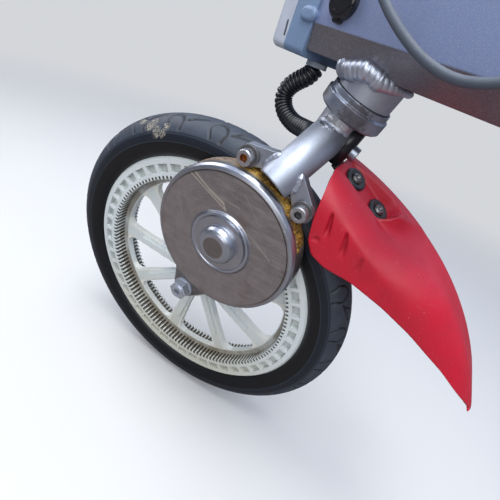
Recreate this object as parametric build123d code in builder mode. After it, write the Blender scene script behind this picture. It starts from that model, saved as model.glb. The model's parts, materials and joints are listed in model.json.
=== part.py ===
"""Front end of a small-wheeled electric bicycle.

The nose of the box-beam frame carries a steering head. A single fork leg runs
down the left of the wheel to an offset drum motor, whose pinion drives a toothed
ring moulded into the wheel. X is forward, Y is left, Z is up, in millimetres, and
the origin is the centre of the beam's cut rear face. The fork is turned to the
left by STEER_TURN, and everything that turns with it is placed through TURN.
"""
import os
from math import cos, degrees, pi, radians, sin, tan

from build123d import *

os.makedirs("parts", exist_ok=True)

# Steering geometry
HEAD_ANGLE = 73.4        # steering axis above the horizontal, leaning back
STEER_TURN = 25.8        # how far the fork is turned to the left at rest
AXLE_LEAD = 28.4         # the axle ahead of the steering axis, square to it
HEAD_RISE = 270.7        # lower cup's bottom above the axle, along the axis
HUB_X, HUB_Z = 230.0, -337.0     # axle with the fork straight ahead

# Wheel and tyre
TYRE_R = 200.0
TYRE_HALF = 25.0
RIM_R = 158.0
RIM_HALF = 20.0
RIM_CHAMFER = 2.5
TEETH = 144              # internal teeth of each toothed ring
RING_PITCH_R = 134.0
RING_TIP_R = 132.2
RING_ROOT_R = 136.2
RING_LAP = 1.0           # the toothed ring runs this far into the rim
POCKETS = 48
POCKET_IN_R, POCKET_OUT_R = 140.5, 150.0
POCKET_RIB = 4.5
POCKET_DEEP = 7.0
WEB_HALF = 4.0
WEB_RING_R = 125.0       # inner edge of the web's outer ring
SPOKE_WIDE = 15.0
SPOKE_RAISED_R = 96.0    # the spokes are thicker inside this radius
SPOKE_RAISED_HALF = 8.0
SPOKE_RAISED_WIDE = 9.0
SPOKE_ANGLES = (1.6, -35.4, -78.4)    # three spokes, repeated three times
HUB_R = 24.0
HUB_HALF = 21.0
AXLE_R = 8.0
AXLE_HEX_R, AXLE_SOCKET_R = 12.2, 4.6
AXLE_WASHER_R, AXLE_WASHER_THICK = 13.0, 2.5
BEARING_GAP = 0.3

# Pinion
PINION_TEETH = 16
PINION_AT = 72.6         # its place round the wheel, from straight ahead
PINION_SHAFT_R = 5.0
PINION_IN, PINION_OUT = 9.5, 19.0

# Motor
MOTOR_AT = (-45.7, 110.8)    # drum centre from the axle, forward and up
DRUM_R = 78.0
DRUM_FACE_R = 73.0
DRUM_BACK, DRUM_BEVEL, DRUM_FACE = 35.0, 55.0, 60.0
DRUM_WALL = 3.0
PLATE_R = 76.5
ANNULUS_R, ANNULUS_HIGH = 33.0, 2.0
BOSS_R, BOSS_HIGH, BOSS_TOP_R = 20.0, 12.0, 11.0
PLATE_THICK = 4.0
ARM_END_R = 15.0
ARM_ROOTS, ARM_ROOT_R = ((52.0, -34.0), (-8.0, -66.0)), 12.0     # from the drum's centre
LUG_CIRCLE_R = 88.4
LUG_ANGLES = (89.8, 134.2)
LUG_R = 10.0
LUG_THICK = 8.0
LUG_BOLT_R = 5.0
LUG_HEAD_R, LUG_HEAD_HIGH = 7.4, 8.0
LUG_SOCKET_R = 4.0
LUG_FOOT_UP = 24.0       # the lugs stand on the leg this far above its lower end
LUG_FOOT_AT, LUG_FOOT_R = (9.0, 3.0), 7.0
WASHER_R, WASHER_THICK = 10.0, 3.0

# Fork leg and steering head
STEERER_R = 15.0
STEM_SEAT_R = 14.3        # the steerer's free end, turned down for the stem
STEERER_BORE = 11.8
LEG_R = 15.8
LEG_WALL = 2.5
STUB_R = 15.5
STUB_LOW = -34.0         # stub's lower end, along the axis from the cup's bottom
CROWN_RACE_HIGH = 3.0
LEG_START = -8.0         # where the leg's centre line leaves the steering axis
LEG_END = (10.4, 47.0, -72.5)   # its lower end: forward, left and up from the cup
LEG_SPARE = 9.0         # run past that end, then cut to the drum
CUP_R, CUP_STEP_R, CUP_LOW_R = 28.5, 26.5, 21.0
CUP_SKIRT, CUP_TAPER = 1.0, 1.5    # the skirt hangs round the crown race
CUP_STEP, CUP_HIGH = 10.0, 16.0
HEAD_TUBE_R, HEAD_TUBE_BORE = 24.5, 20.0
HEAD_WELD = 2.0          # bead round the head tube where it passes through the beam
HEAD_TUBE_TOP = 156.0
UPPER_CUP_HIGH = 12.0
TOP_NUT_R, TOP_NUT_HIGH = 20.0, 8.0
STEERER_TOP = 216.0

# Frame beam and nose
BEAM_HALF_WIDE = 36.0
BEAM_LOW, BEAM_TOP = -55.0, 55.0
BEAM_KEEL = [            # place from the rear, half width of the flat bottom
    (0.0, 16.0), (85.0, 16.0), (167.0, 34.0),
]
BEAM_KEEL_RISE = 18.0
BEAM_TOP_CHAMFER = 14.0
NOSE_LONG, NOSE_HALF_WIDE, NOSE_HALF_HIGH = 23.0, 37.5, 61.0
NOSE_CORNER = 5.0
TRIM_LONG, TRIM_ROUND = 20.0, 8.0
EAR_AT = (173.0, -33.0)          # rounded ear on the left of the cap, forward and up
EAR_LONG, EAR_HIGH, EAR_THICK = 16.0, 10.0, 4.5

# Mudguard and its bracket, from the axle, forward and up
GUARD_CENTRE = (-37.0, -106.0)   # the crown is an arc about this point
GUARD_R = 330.0
GUARD_HALF_WIDE = 42.0
GUARD_TOP_HALF = 20.0
GUARD_CORNER = 22.0
GUARD_DEEP = 78.0
GUARD_WALL = 3.0
GUARD_BOLT = (-131.0, 202.5)     # first bolt's seat on the channel floor
GUARD_SLOPE = 31.0               # slope of the channel floor
GUARD_BOLT_GAP = 34.0
CHANNEL_HALF = 10.5
CHANNEL_FRONT, CHANNEL_REAR = 30.0, 11.0    # past the first and the second bolt
# the guard's edge seen from its side, from the front of the crown round the bottom
GUARD_EDGE = [
    (-114.0, 240.0), (-117.0, 205.0), (-118.0, 170.0), (-121.0, 150.0), (-129.0, 138.0),
    (-144.0, 132.0), (-172.0, 131.0), (-205.0, 123.0), (-238.0, 111.0), (-275.0, 92.0),
    (-312.0, 66.0), (-330.0, 50.0), (-350.0, 70.0), (-340.0, 240.0),
]
BRACKET_THICK = 3.0
BRACKET_HALF_WIDE = 11.0
BRACKET_BOLT_AT = -23.0          # height on the stub
BRACKET_HEAD_R, BRACKET_HEAD_HIGH = 6.5, 8.0
BRACKET_SHANK_R = 4.0
BRACKET_TOP = -8.0
GUARD_WASHER_R, GUARD_WASHER_THICK = 10.0, 2.5
GUARD_BOLT_R, GUARD_BOLT_HIGH = 5.0, 2.5
GUARD_SHANK_R = 2.5

# Conduit, cable and port
CONDUIT_R = 7.4
CONDUIT_ROUTE = [
    (172, 10, -65), (174.5, 10.5, -72), (184, 12, -79), (192, 14, -88.5), (192, 14.5, -99),
    (183, 15, -108), (168, 15.3, -112), (157, 17, -111.5), (146, 19.5, -110.3),
]
GLAND_R, GLAND_HIGH = 9.5, 4.0       # hexagonal nut above the conduit's top end
CABLE_R = 3.0
CABLE_ROUTE = [
    (146, 40.5, 28), (146, 49.5, 28), (137, 52, 14), (121, 52, -1), (102, 51, -18),
    (81, 50, -30.5), (60, 49, -39.5), (41, 46, -43), (26, 43, -40), (13, 41, -34),
    (3, 41, -31),
]
CLIP_START, CLIP_LONG = 1.0, 9.0
PORT_AT = (144.0, -20.0)
PORT_R, PORT_HIGH = 11.8, 6.0
PORT_TAB_AT = (144.0, -29.0)     # pull tab below the cap
PORT_TAB, PORT_TAB_THICK = 9.0, 2.5

# Places worked out from the above
LEAN = HEAD_ANGLE - 90
AXIS_X, AXIS_Z = sin(radians(LEAN)), cos(radians(LEAN))      # unit vector up the axis
CUP_X = HUB_X - AXLE_LEAD * AXIS_Z + HEAD_RISE * AXIS_X
CUP_Z = HUB_Z + AXLE_LEAD * AXIS_X + HEAD_RISE * AXIS_Z
HEAD = Location((CUP_X, 0, CUP_Z)) * Location((0, 0, 0), (0, LEAN, 0))
TURN = HEAD * Location((0, 0, 0), (0, 0, STEER_TURN)) * HEAD.inverse()
FORK_HEAD = TURN * HEAD
MODULE = 2 * RING_PITCH_R / TEETH
PINION_PITCH_R = MODULE * PINION_TEETH / 2
PINION_FROM_HUB = RING_PITCH_R - PINION_PITCH_R
PINION_X = PINION_FROM_HUB * cos(radians(PINION_AT))
PINION_Z = PINION_FROM_HUB * sin(radians(PINION_AT))
PLATE_BACK = DRUM_BACK - PLATE_THICK
NUT_LOW = HEAD_TUBE_TOP + UPPER_CUP_HIGH + BEARING_GAP
NUT_TOP = NUT_LOW + TOP_NUT_HIGH
LUG_PLACES = [
    (MOTOR_AT[0] + LUG_CIRCLE_R * cos(radians(angle)),
     MOTOR_AT[1] + LUG_CIRCLE_R * sin(radians(angle)))
    for angle in LUG_ANGLES
]

BEAM_LONG = BEAM_KEEL[-1][0]


def side(left, forward=0.0, up=0.0):
    """Plane square to the axle, from the hub, looking right, its x forward and y up."""
    place = TURN * Location((HUB_X + forward, left, HUB_Z + up))
    return Plane(place * Plane.XZ.location)


def on_axis(height, turned=True):
    """Plane square to the steering axis at a height above the lower cup's bottom."""
    base = FORK_HEAD if turned else HEAD
    return Plane(base * Location((0, 0, height)))


def axis_section(turned=True):
    """Plane holding the steering axis, its x forward and its y up the axis."""
    base = FORK_HEAD if turned else HEAD
    return Plane(base * Plane.XZ.location)


def axis_line(turned=True):
    """The steering axis itself."""
    plane = on_axis(0, turned)
    return Axis(plane.origin, plane.z_dir)


def axle_section(forward=0.0, up=0.0):
    """Plane holding a line along the axle, its x outward to the front and y to the left."""
    place = TURN * Location((HUB_X + forward, 0, HUB_Z + up))
    return Plane(place)


def axle_line(forward=0.0, up=0.0):
    """A line parallel to the axle."""
    plane = axle_section(forward, up)
    return Axis(plane.origin, plane.y_dir)


def save(piece, name):
    """Label a finished piece and write it to its own STEP file."""
    piece.part.label = name
    export_step(piece.part, f"parts/{name}.step")


# Wheel
SPOKES = [angle - 120 * turn for turn in range(3) for angle in SPOKE_ANGLES]
TOOTH_STEP = 360 / TEETH
# one gap between ring teeth: radius and half angle, from the tip line to the root
GAP = [(RING_TIP_R - 0.8, 0.36 * TOOTH_STEP), (RING_ROOT_R, 0.21 * TOOTH_STEP)]
POCKET_HALF_ANGLE = 180 / POCKETS - degrees(POCKET_RIB / 2 / POCKET_IN_R)


def wedge(sides):
    """Corners, about the X axis, of an outline given as radius and half angle."""
    there = [(r * cos(radians(a)), r * sin(radians(a))) for r, a in sides]
    return there + [(x, -y) for x, y in reversed(there)]


with BuildPart() as moulded_wheel:
    # rim, with pockets in both side faces
    with BuildSketch(side(RIM_HALF)):
        Circle(RIM_R)
        Circle(RING_ROOT_R + RING_LAP / 2, mode=Mode.SUBTRACT)
    extrude(amount=2 * RIM_HALF)
    chamfer(moulded_wheel.edges().filter_by(GeomType.CIRCLE).group_by(
        SortBy.RADIUS)[-1], RIM_CHAMFER)
    for near in (RIM_HALF, POCKET_DEEP - RIM_HALF):
        with BuildSketch(side(near)):
            with PolarLocations(0, POCKETS, start_angle=180 / POCKETS):
                Polygon(*wedge([(POCKET_IN_R, POCKET_HALF_ANGLE),
                                (POCKET_OUT_R, POCKET_HALF_ANGLE)]), align=None)
        extrude(amount=POCKET_DEEP, mode=Mode.SUBTRACT)
    # web, spokes and hub
    with BuildSketch(side(WEB_HALF)):
        Circle(RING_ROOT_R + RING_LAP)
        Circle(WEB_RING_R, mode=Mode.SUBTRACT)
        Circle(HUB_R)
        for angle in SPOKES:
            with PolarLocations(0, 1, start_angle=angle):
                with Locations(((WEB_RING_R + 1) / 2, 0)):
                    Rectangle(WEB_RING_R + 1, SPOKE_WIDE)
    extrude(amount=2 * WEB_HALF)
    with BuildSketch(side(SPOKE_RAISED_HALF)):
        for angle in SPOKES:
            with PolarLocations(0, 1, start_angle=angle):
                with Locations((SPOKE_RAISED_R / 2, 0)):
                    Rectangle(SPOKE_RAISED_R, SPOKE_RAISED_WIDE)
    extrude(amount=2 * SPOKE_RAISED_HALF)
    with BuildSketch(side(HUB_HALF)):
        Circle(HUB_R)
    extrude(amount=2 * HUB_HALF)
    with BuildSketch(side(HUB_HALF)):
        Circle(AXLE_R + BEARING_GAP)
    extrude(amount=2 * HUB_HALF, mode=Mode.SUBTRACT)
    # a ring of internal teeth on both sides of the web
    for near in (RIM_HALF, -WEB_HALF):
        with BuildSketch(side(near)):
            Circle(RING_ROOT_R + RING_LAP)
            Circle(RING_TIP_R, mode=Mode.SUBTRACT)
            with PolarLocations(0, TEETH):
                Polygon(*wedge(GAP), align=None, mode=Mode.SUBTRACT)
        extrude(amount=RIM_HALF - WEB_HALF)
save(moulded_wheel, "moulded_wheel")

with BuildPart() as tyre:
    bead_half, shoulder_half, shoulder_r = 18.0, 18.5, 192.0
    with BuildSketch(axle_section()):
        with BuildLine():
            Line((RIM_R, -bead_half), (RIM_R, bead_half))
            ThreePointArc((RIM_R, bead_half), (176.0, TYRE_HALF), (shoulder_r, shoulder_half))
            ThreePointArc((shoulder_r, shoulder_half), (TYRE_R, 0), (shoulder_r, -shoulder_half))
            ThreePointArc((shoulder_r, -shoulder_half), (176.0, -TYRE_HALF), (RIM_R, -bead_half))
        make_face()
    revolve(axis=axle_line())
save(tyre, "tyre")

# Axle
AXLE_END = HUB_HALF + 10.0
with BuildPart() as axle_shaft:
    with BuildSketch(side(DRUM_BACK)):
        Circle(AXLE_R)
    extrude(amount=DRUM_BACK + AXLE_END)
    with BuildSketch(side(PLATE_BACK)):
        Circle(AXLE_R + 3)
    extrude(amount=PLATE_BACK - HUB_HALF - BEARING_GAP)
save(axle_shaft, "axle_shaft")

with BuildPart() as axle_nut:
    with BuildSketch(side(-HUB_HALF - BEARING_GAP)):
        Circle(AXLE_WASHER_R)
        Circle(AXLE_R, mode=Mode.SUBTRACT)
    extrude(amount=AXLE_WASHER_THICK)
    with BuildSketch(side(-HUB_HALF - BEARING_GAP - AXLE_WASHER_THICK)):
        RegularPolygon(AXLE_HEX_R, 6)
        Circle(AXLE_R, mode=Mode.SUBTRACT)
    extrude(amount=6)
save(axle_nut, "axle_nut")

with BuildPart() as axle_bolt:
    head_low = DRUM_BACK + AXLE_WASHER_THICK
    head_top = head_low + 12
    with BuildSketch(side(head_low)):
        Circle(AXLE_WASHER_R)
    extrude(amount=AXLE_WASHER_THICK)
    with BuildSketch(side(head_top - 2)):
        RegularPolygon(AXLE_HEX_R, 6)
    extrude(amount=head_top - 2 - head_low)
    with BuildSketch(side(head_top)):
        Circle(0.7 * AXLE_HEX_R)
    extrude(amount=2)
    with BuildSketch(side(head_top)):
        RegularPolygon(AXLE_SOCKET_R, 6)
    extrude(amount=8, mode=Mode.SUBTRACT)
save(axle_bolt, "axle_bolt")

# Motor
with BuildPart() as motor_plate:
    with BuildSketch(side(DRUM_BACK)):
        with Locations(MOTOR_AT):
            Circle(PLATE_R)
        with BuildSketch(mode=Mode.PRIVATE) as arm:
            Circle(ARM_END_R)
            with Locations(*[(MOTOR_AT[0] + x, MOTOR_AT[1] + z) for x, z in ARM_ROOTS]):
                Circle(ARM_ROOT_R)
            make_hull()
        add(arm.sketch)
        for x, z in LUG_PLACES + [(PINION_X, PINION_Z)]:
            with BuildSketch(mode=Mode.PRIVATE) as ear:
                with Locations((x, z)):
                    Circle(LUG_R)
                with Locations(((x + MOTOR_AT[0]) / 2, (z + MOTOR_AT[1]) / 2)):
                    Circle(LUG_R + 10)
                make_hull()
            add(ear.sketch)
    extrude(amount=PLATE_THICK)
    bearing_gap_behind = 5.5
    with BuildSketch(side(PLATE_BACK, PINION_X, PINION_Z)):
        Circle(LUG_R)
    extrude(amount=PLATE_BACK - RIM_HALF - bearing_gap_behind)
    with BuildSketch(side(DRUM_BACK, PINION_X, PINION_Z)):
        Circle(PINION_SHAFT_R + BEARING_GAP)
    extrude(amount=DRUM_BACK - RIM_HALF, mode=Mode.SUBTRACT)
    with BuildSketch(side(DRUM_BACK)):
        with Locations(*LUG_PLACES):
            Circle(LUG_BOLT_R)
        Circle(AXLE_R)
        Polygon((10, 40), (15, 22), (-4, 17), (-14, 36), align=None)
        Polygon((-18, 20), (-26, 34), (-48, 28), (-36, 16), align=None)
    extrude(amount=PLATE_THICK, mode=Mode.SUBTRACT)
save(motor_plate, "motor_plate")

with BuildPart() as motor_cover:
    with BuildSketch(axle_section(*MOTOR_AT)):
        with BuildLine():
            Polyline(
                (0, DRUM_FACE - DRUM_WALL), (DRUM_FACE_R - DRUM_WALL, DRUM_FACE - DRUM_WALL),
                (DRUM_R - DRUM_WALL, DRUM_BEVEL - DRUM_WALL / 2), (DRUM_R - DRUM_WALL, DRUM_BACK),
                (DRUM_R, DRUM_BACK), (DRUM_R, DRUM_BEVEL),
                (DRUM_R - 1.5, DRUM_FACE - 1.5), (DRUM_FACE_R, DRUM_FACE),
                (ANNULUS_R + 2, DRUM_FACE), (ANNULUS_R, DRUM_FACE + ANNULUS_HIGH),
                (BOSS_R, DRUM_FACE + ANNULUS_HIGH), (BOSS_R, DRUM_FACE + 0.5 * BOSS_HIGH),
                (0.9 * BOSS_R, DRUM_FACE + 0.78 * BOSS_HIGH), (0.74 * BOSS_R, DRUM_FACE + 0.94 * BOSS_HIGH),
                (BOSS_TOP_R, DRUM_FACE + BOSS_HIGH), (0, DRUM_FACE + BOSS_HIGH), close=True)
        make_face()
    revolve(axis=axle_line(*MOTOR_AT))
save(motor_cover, "motor_cover")

with BuildPart() as motor_core:
    with BuildSketch(side(DRUM_FACE - DRUM_WALL - 2, *MOTOR_AT)):
        Circle(DRUM_R - DRUM_WALL - 8)
    extrude(amount=DRUM_FACE - DRUM_WALL - 2 - DRUM_BACK)
save(motor_core, "motor_core")

PINION_OUTER_R, PINION_ROOT_R = PINION_PITCH_R + 1.4, PINION_PITCH_R - 2.3
PINION_STEP = 360 / PINION_TEETH
# one gap between pinion teeth: radius and half angle, from outside to the root
PINION_GAP = [
    (PINION_OUTER_R + 1, 0.37 * PINION_STEP), (PINION_PITCH_R, 0.28 * PINION_STEP),
    (PINION_ROOT_R, 0.19 * PINION_STEP),
]
# a ring gap faces the pinion's tooth on the line from hub to pinion
PINION_PHASE = (PINION_AT % TOOTH_STEP) * -TEETH / PINION_TEETH
with BuildPart() as pinion:
    with BuildSketch(side(PINION_OUT, PINION_X, PINION_Z)):
        Circle(PINION_OUTER_R)
        with PolarLocations(0, PINION_TEETH,
                            start_angle=PINION_AT + PINION_STEP / 2 + PINION_PHASE):
            Polygon(*wedge(PINION_GAP), align=None, mode=Mode.SUBTRACT)
    extrude(amount=PINION_OUT - PINION_IN)
    with BuildSketch(side(DRUM_BACK - 0.5, PINION_X, PINION_Z)):
        Circle(PINION_SHAFT_R)
    extrude(amount=DRUM_BACK - 0.5 - PINION_OUT)
save(pinion, "pinion")

# Fork leg
leg_from = on_axis(LEG_START).origin
leg_to = (FORK_HEAD * Location(LEG_END)).position
leg_way = (leg_to - leg_from).normalized()
leg_plane = Plane(origin=leg_from, x_dir=axis_section().x_dir, z_dir=leg_way)
leg_long = (leg_to - leg_from).length + LEG_SPARE

with BuildPart() as fork_leg:
    with BuildSketch(leg_plane):
        Circle(LEG_R)
    extrude(amount=leg_long)
    with BuildSketch(on_axis(STUB_LOW)):
        Circle(STUB_R)
    extrude(amount=-STUB_LOW - CROWN_RACE_HIGH)
    with BuildSketch(leg_plane.offset(STUB_R)):
        Circle(LEG_R - LEG_WALL)
    extrude(amount=leg_long, mode=Mode.SUBTRACT)
    with BuildSketch(on_axis(-CROWN_RACE_HIGH)):
        Circle(2 * LEG_R)
    extrude(amount=2 * LEG_R, mode=Mode.SUBTRACT)
    with BuildSketch(side(-TYRE_HALF, *MOTOR_AT)):
        Circle(DRUM_R + 0.2)
    extrude(amount=-200, mode=Mode.SUBTRACT)
save(fork_leg, "fork_leg")

foot_at = side(0).to_local_coords(leg_to - leg_way * LUG_FOOT_UP)
for number, (x, z) in enumerate(LUG_PLACES, 1):
    own_side = 1 if number == 1 else -1
    with BuildPart() as lug:
        with BuildSketch(side(DRUM_BACK + LUG_THICK)):
            with BuildSketch(mode=Mode.PRIVATE) as outline:
                with Locations((x, z)):
                    Circle(LUG_R)
                with Locations((foot_at.X + own_side * LUG_FOOT_AT[0],
                                foot_at.Y + own_side * LUG_FOOT_AT[1])):
                    Circle(LUG_FOOT_R)
                make_hull()
            add(outline.sketch)
            with Locations((x, z)):
                Circle(LUG_BOLT_R, mode=Mode.SUBTRACT)
        extrude(amount=LUG_THICK)
        with BuildSketch(leg_plane):
            Circle(LEG_R)
        extrude(amount=leg_long + 40, mode=Mode.SUBTRACT)
        with BuildSketch(side(0, *MOTOR_AT)):
            Circle(DRUM_R + 0.2)
        extrude(amount=-200, mode=Mode.SUBTRACT)
    save(lug, f"lug_{number}")

    with BuildPart() as washer:
        with BuildSketch(side(DRUM_BACK + LUG_THICK + WASHER_THICK, x, z)):
            Circle(WASHER_R)
            Circle(LUG_BOLT_R, mode=Mode.SUBTRACT)
        extrude(amount=WASHER_THICK)
    save(washer, f"lug_washer_{number}")

    with BuildPart() as lug_bolt:
        seat = DRUM_BACK + LUG_THICK + WASHER_THICK
        with BuildSketch(side(seat + LUG_HEAD_HIGH, x, z)):
            Circle(LUG_HEAD_R)
        extrude(amount=LUG_HEAD_HIGH)
        chamfer(lug_bolt.edges().filter_by(GeomType.CIRCLE), 0.8)
        with BuildSketch(side(seat, x, z)):
            Circle(LUG_BOLT_R)
        extrude(amount=seat - PLATE_BACK)
        with BuildSketch(side(seat + LUG_HEAD_HIGH, x, z)):
            RegularPolygon(LUG_SOCKET_R, 6)
        extrude(amount=5, mode=Mode.SUBTRACT)
    save(lug_bolt, f"lug_bolt_{number}")

# Steering head
with BuildPart() as steerer:
    for low, high, outer in ((-CROWN_RACE_HIGH, NUT_TOP, STEERER_R),
                             (NUT_TOP, STEERER_TOP, STEM_SEAT_R)):
        with BuildSketch(on_axis(low)):
            Circle(outer)
            Circle(STEERER_BORE, mode=Mode.SUBTRACT)
        extrude(amount=high - low)
    with BuildSketch(on_axis(-CROWN_RACE_HIGH)):
        Circle(CUP_LOW_R - 1)
        Circle(STEERER_R - 1, mode=Mode.SUBTRACT)
    extrude(amount=CROWN_RACE_HIGH - BEARING_GAP)
save(steerer, "steerer")

bore = STEERER_R + BEARING_GAP
with BuildPart() as lower_cup:
    with BuildSketch(axis_section(False)):
        with BuildLine():
            Polyline((bore, 0), (CUP_LOW_R, 0), (CUP_LOW_R, -CUP_SKIRT),
                     (CUP_R - CUP_TAPER, -CUP_SKIRT), (CUP_R, CUP_TAPER - CUP_SKIRT),
                     (CUP_R, CUP_STEP), (CUP_STEP_R, CUP_STEP + CUP_TAPER),
                     (CUP_STEP_R, CUP_HIGH), (bore, CUP_HIGH), close=True)
        make_face()
    revolve(axis=axis_line(False))
save(lower_cup, "lower_cup")



def beam_solid(grow=0.0):
    """The beam without the head tube's bore, its sides moved outward."""
    with BuildPart(mode=Mode.PRIVATE) as beam:
        for x, keel_half in BEAM_KEEL:
            left = [
                (keel_half, BEAM_LOW), (BEAM_HALF_WIDE, BEAM_LOW + BEAM_KEEL_RISE),
                (BEAM_HALF_WIDE, BEAM_TOP - BEAM_TOP_CHAMFER),
                (BEAM_HALF_WIDE - BEAM_TOP_CHAMFER, BEAM_TOP),
            ]
            with BuildSketch(Plane.YZ.offset(x)):
                Polygon(*left, *[(-y, z) for y, z in reversed(left)], align=None)
                if grow:
                    offset(amount=grow, kind=Kind.INTERSECTION)
        loft(ruled=True)
    return beam.part


with BuildPart() as head_tube:
    with BuildSketch(on_axis(CUP_HIGH, False)):
        Circle(HEAD_TUBE_R + HEAD_WELD)
    extrude(amount=HEAD_TUBE_TOP - CUP_HIGH)
    # the bead stands out from the beam's faces and from the tube
    add(beam_solid(HEAD_WELD), mode=Mode.INTERSECT)
    add(beam_solid(), mode=Mode.SUBTRACT)
    with BuildSketch(on_axis(CUP_HIGH, False)):
        Circle(HEAD_TUBE_R)
    extrude(amount=HEAD_TUBE_TOP - CUP_HIGH)
    with BuildSketch(on_axis(CUP_HIGH, False)):
        Circle(HEAD_TUBE_BORE)
    extrude(amount=HEAD_TUBE_TOP - CUP_HIGH, mode=Mode.SUBTRACT)
save(head_tube, "head_tube")

with BuildPart() as upper_cup:
    with BuildSketch(axis_section(False)):
        with BuildLine():
            Polyline((bore, HEAD_TUBE_TOP), (CUP_STEP_R, HEAD_TUBE_TOP),
                     (CUP_STEP_R, HEAD_TUBE_TOP + 7),
                     (CUP_LOW_R, HEAD_TUBE_TOP + UPPER_CUP_HIGH),
                     (bore, HEAD_TUBE_TOP + UPPER_CUP_HIGH), close=True)
        make_face()
    revolve(axis=axis_line(False))
save(upper_cup, "upper_cup")

with BuildPart() as top_nut:
    with BuildSketch(on_axis(NUT_LOW)):
        RegularPolygon(TOP_NUT_R, 6)
        Circle(STEERER_R, mode=Mode.SUBTRACT)
    extrude(amount=TOP_NUT_HIGH)
save(top_nut, "top_nut")

# Frame beam and nose
with BuildPart() as frame_beam:
    add(beam_solid())
    with BuildSketch(on_axis(0, False)):
        Circle(HEAD_TUBE_R)
    extrude(amount=HEAD_TUBE_TOP, mode=Mode.SUBTRACT)
save(frame_beam, "frame_beam")

with BuildPart() as nose_cap:
    with BuildSketch(Plane.YZ.offset(BEAM_LONG)):
        RectangleRounded(2 * NOSE_HALF_WIDE, 2 * NOSE_HALF_HIGH, NOSE_CORNER)
    extrude(amount=NOSE_LONG)
    with BuildSketch(Plane.XZ.offset(-BEAM_HALF_WIDE - EAR_THICK)):
        with Locations(EAR_AT):
            SlotOverall(EAR_LONG, EAR_HIGH)
    extrude(amount=EAR_THICK)
    fillet(nose_cap.faces().sort_by(Axis.Y)[-1].edges(), 0.6 * EAR_THICK)
save(nose_cap, "nose_cap")

with BuildPart() as nose_trim:
    with BuildSketch(Plane.YZ.offset(BEAM_LONG + NOSE_LONG)):
        RectangleRounded(2 * NOSE_HALF_WIDE, 2 * NOSE_HALF_HIGH, NOSE_CORNER)
    extrude(amount=TRIM_LONG)
    fillet(nose_trim.faces().sort_by(Axis.X)[-1].edges(), TRIM_ROUND)
save(nose_trim, "nose_trim")

# Mudguard
guard_place = (TURN * Location((HUB_X + GUARD_BOLT[0], 0, HUB_Z + GUARD_BOLT[1]))
               * Location((0, 0, 0), (0, -GUARD_SLOPE, 0)))
floor = Plane(guard_place)       # channel floor, x forward, y left, z out


def guard_arch(inset):
    """The guard's solid section by its outer face moved inward."""
    half, top = GUARD_HALF_WIDE - inset, GUARD_R - inset
    side_at = (half - 3, top - GUARD_CORNER)
    bulge = (half - 8, top - 6.5)
    low = GUARD_R - GUARD_DEEP
    with BuildSketch(axle_section(*GUARD_CENTRE)) as arch:
        with BuildLine():
            Line((top, -GUARD_TOP_HALF), (top, GUARD_TOP_HALF))
            for way in (1, -1):
                ThreePointArc((top, way * GUARD_TOP_HALF), (bulge[1], way * bulge[0]),
                              (side_at[1], way * side_at[0]))
                Line((side_at[1], way * side_at[0]), (low, way * half))
            Line((low, half), (low, -half))
        make_face()
    return arch.sketch


def channel(grow):
    """The recess for the two bolts, as a solid above its floor, grown outward."""
    length = CHANNEL_FRONT + GUARD_BOLT_GAP + CHANNEL_REAR
    middle = (CHANNEL_FRONT - GUARD_BOLT_GAP - CHANNEL_REAR) / 2
    with BuildPart(mode=Mode.PRIVATE) as recess:
        with BuildSketch(floor.offset(-grow)):
            with Locations((middle, 0)):
                RectangleRounded(length + 2 * grow, 2 * (CHANNEL_HALF + grow),
                                 CHANNEL_HALF + grow - 0.1)
        extrude(amount=60)
    return recess.part


guard_axis = Axis(axle_section(*GUARD_CENTRE).origin, -axle_section(*GUARD_CENTRE).y_dir)
with BuildPart() as mudguard:
    add(guard_arch(0))
    revolve(axis=guard_axis, revolution_arc=160)
    add(channel(0), mode=Mode.SUBTRACT)
    with BuildPart(mode=Mode.PRIVATE) as inside:
        add(guard_arch(GUARD_WALL))
        revolve(axis=guard_axis, revolution_arc=160)
        add(channel(GUARD_WALL), mode=Mode.SUBTRACT)
    add(inside.part, mode=Mode.SUBTRACT)
    with BuildSketch(side(GUARD_HALF_WIDE + 10)):
        Polygon(*GUARD_EDGE, align=None)
    extrude(amount=2 * GUARD_HALF_WIDE + 20, mode=Mode.INTERSECT)
save(mudguard, "mudguard")

for number, along in enumerate((0.0, -GUARD_BOLT_GAP), 1):
    with BuildPart() as guard_washer:
        with BuildSketch(floor):
            with Locations((along, 0)):
                Circle(GUARD_WASHER_R)
                Circle(GUARD_SHANK_R, mode=Mode.SUBTRACT)
        extrude(amount=GUARD_WASHER_THICK)
    save(guard_washer, f"guard_washer_{number}")
    with BuildPart() as guard_bolt:
        with BuildSketch(floor.offset(GUARD_WASHER_THICK)):
            with Locations((along, 0)):
                Circle(GUARD_BOLT_R)
        extrude(amount=GUARD_BOLT_HIGH)
        with BuildSketch(floor.offset(GUARD_WASHER_THICK)):
            with Locations((along, 0)):
                Circle(GUARD_SHANK_R)
        extrude(amount=-GUARD_WASHER_THICK)
    save(guard_bolt, f"guard_bolt_{number}")

# The bracket stands on the back of the stub and runs back under the channel floor.
fork_section = axis_section()


def under_floor(along, down):
    """A place below the channel floor, in the section along the steering axis."""
    spot = fork_section.to_local_coords((guard_place * Location((along, 0, -down))).position)
    return spot.X, spot.Y


def where_floor_meets(forward, down):
    """Height at which a line below the channel floor meets a given place forward."""
    (x1, y1), (x2, y2) = under_floor(0, down), under_floor(-100, down)
    return y1 + (forward - x1) * (y2 - y1) / (x2 - x1)


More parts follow.
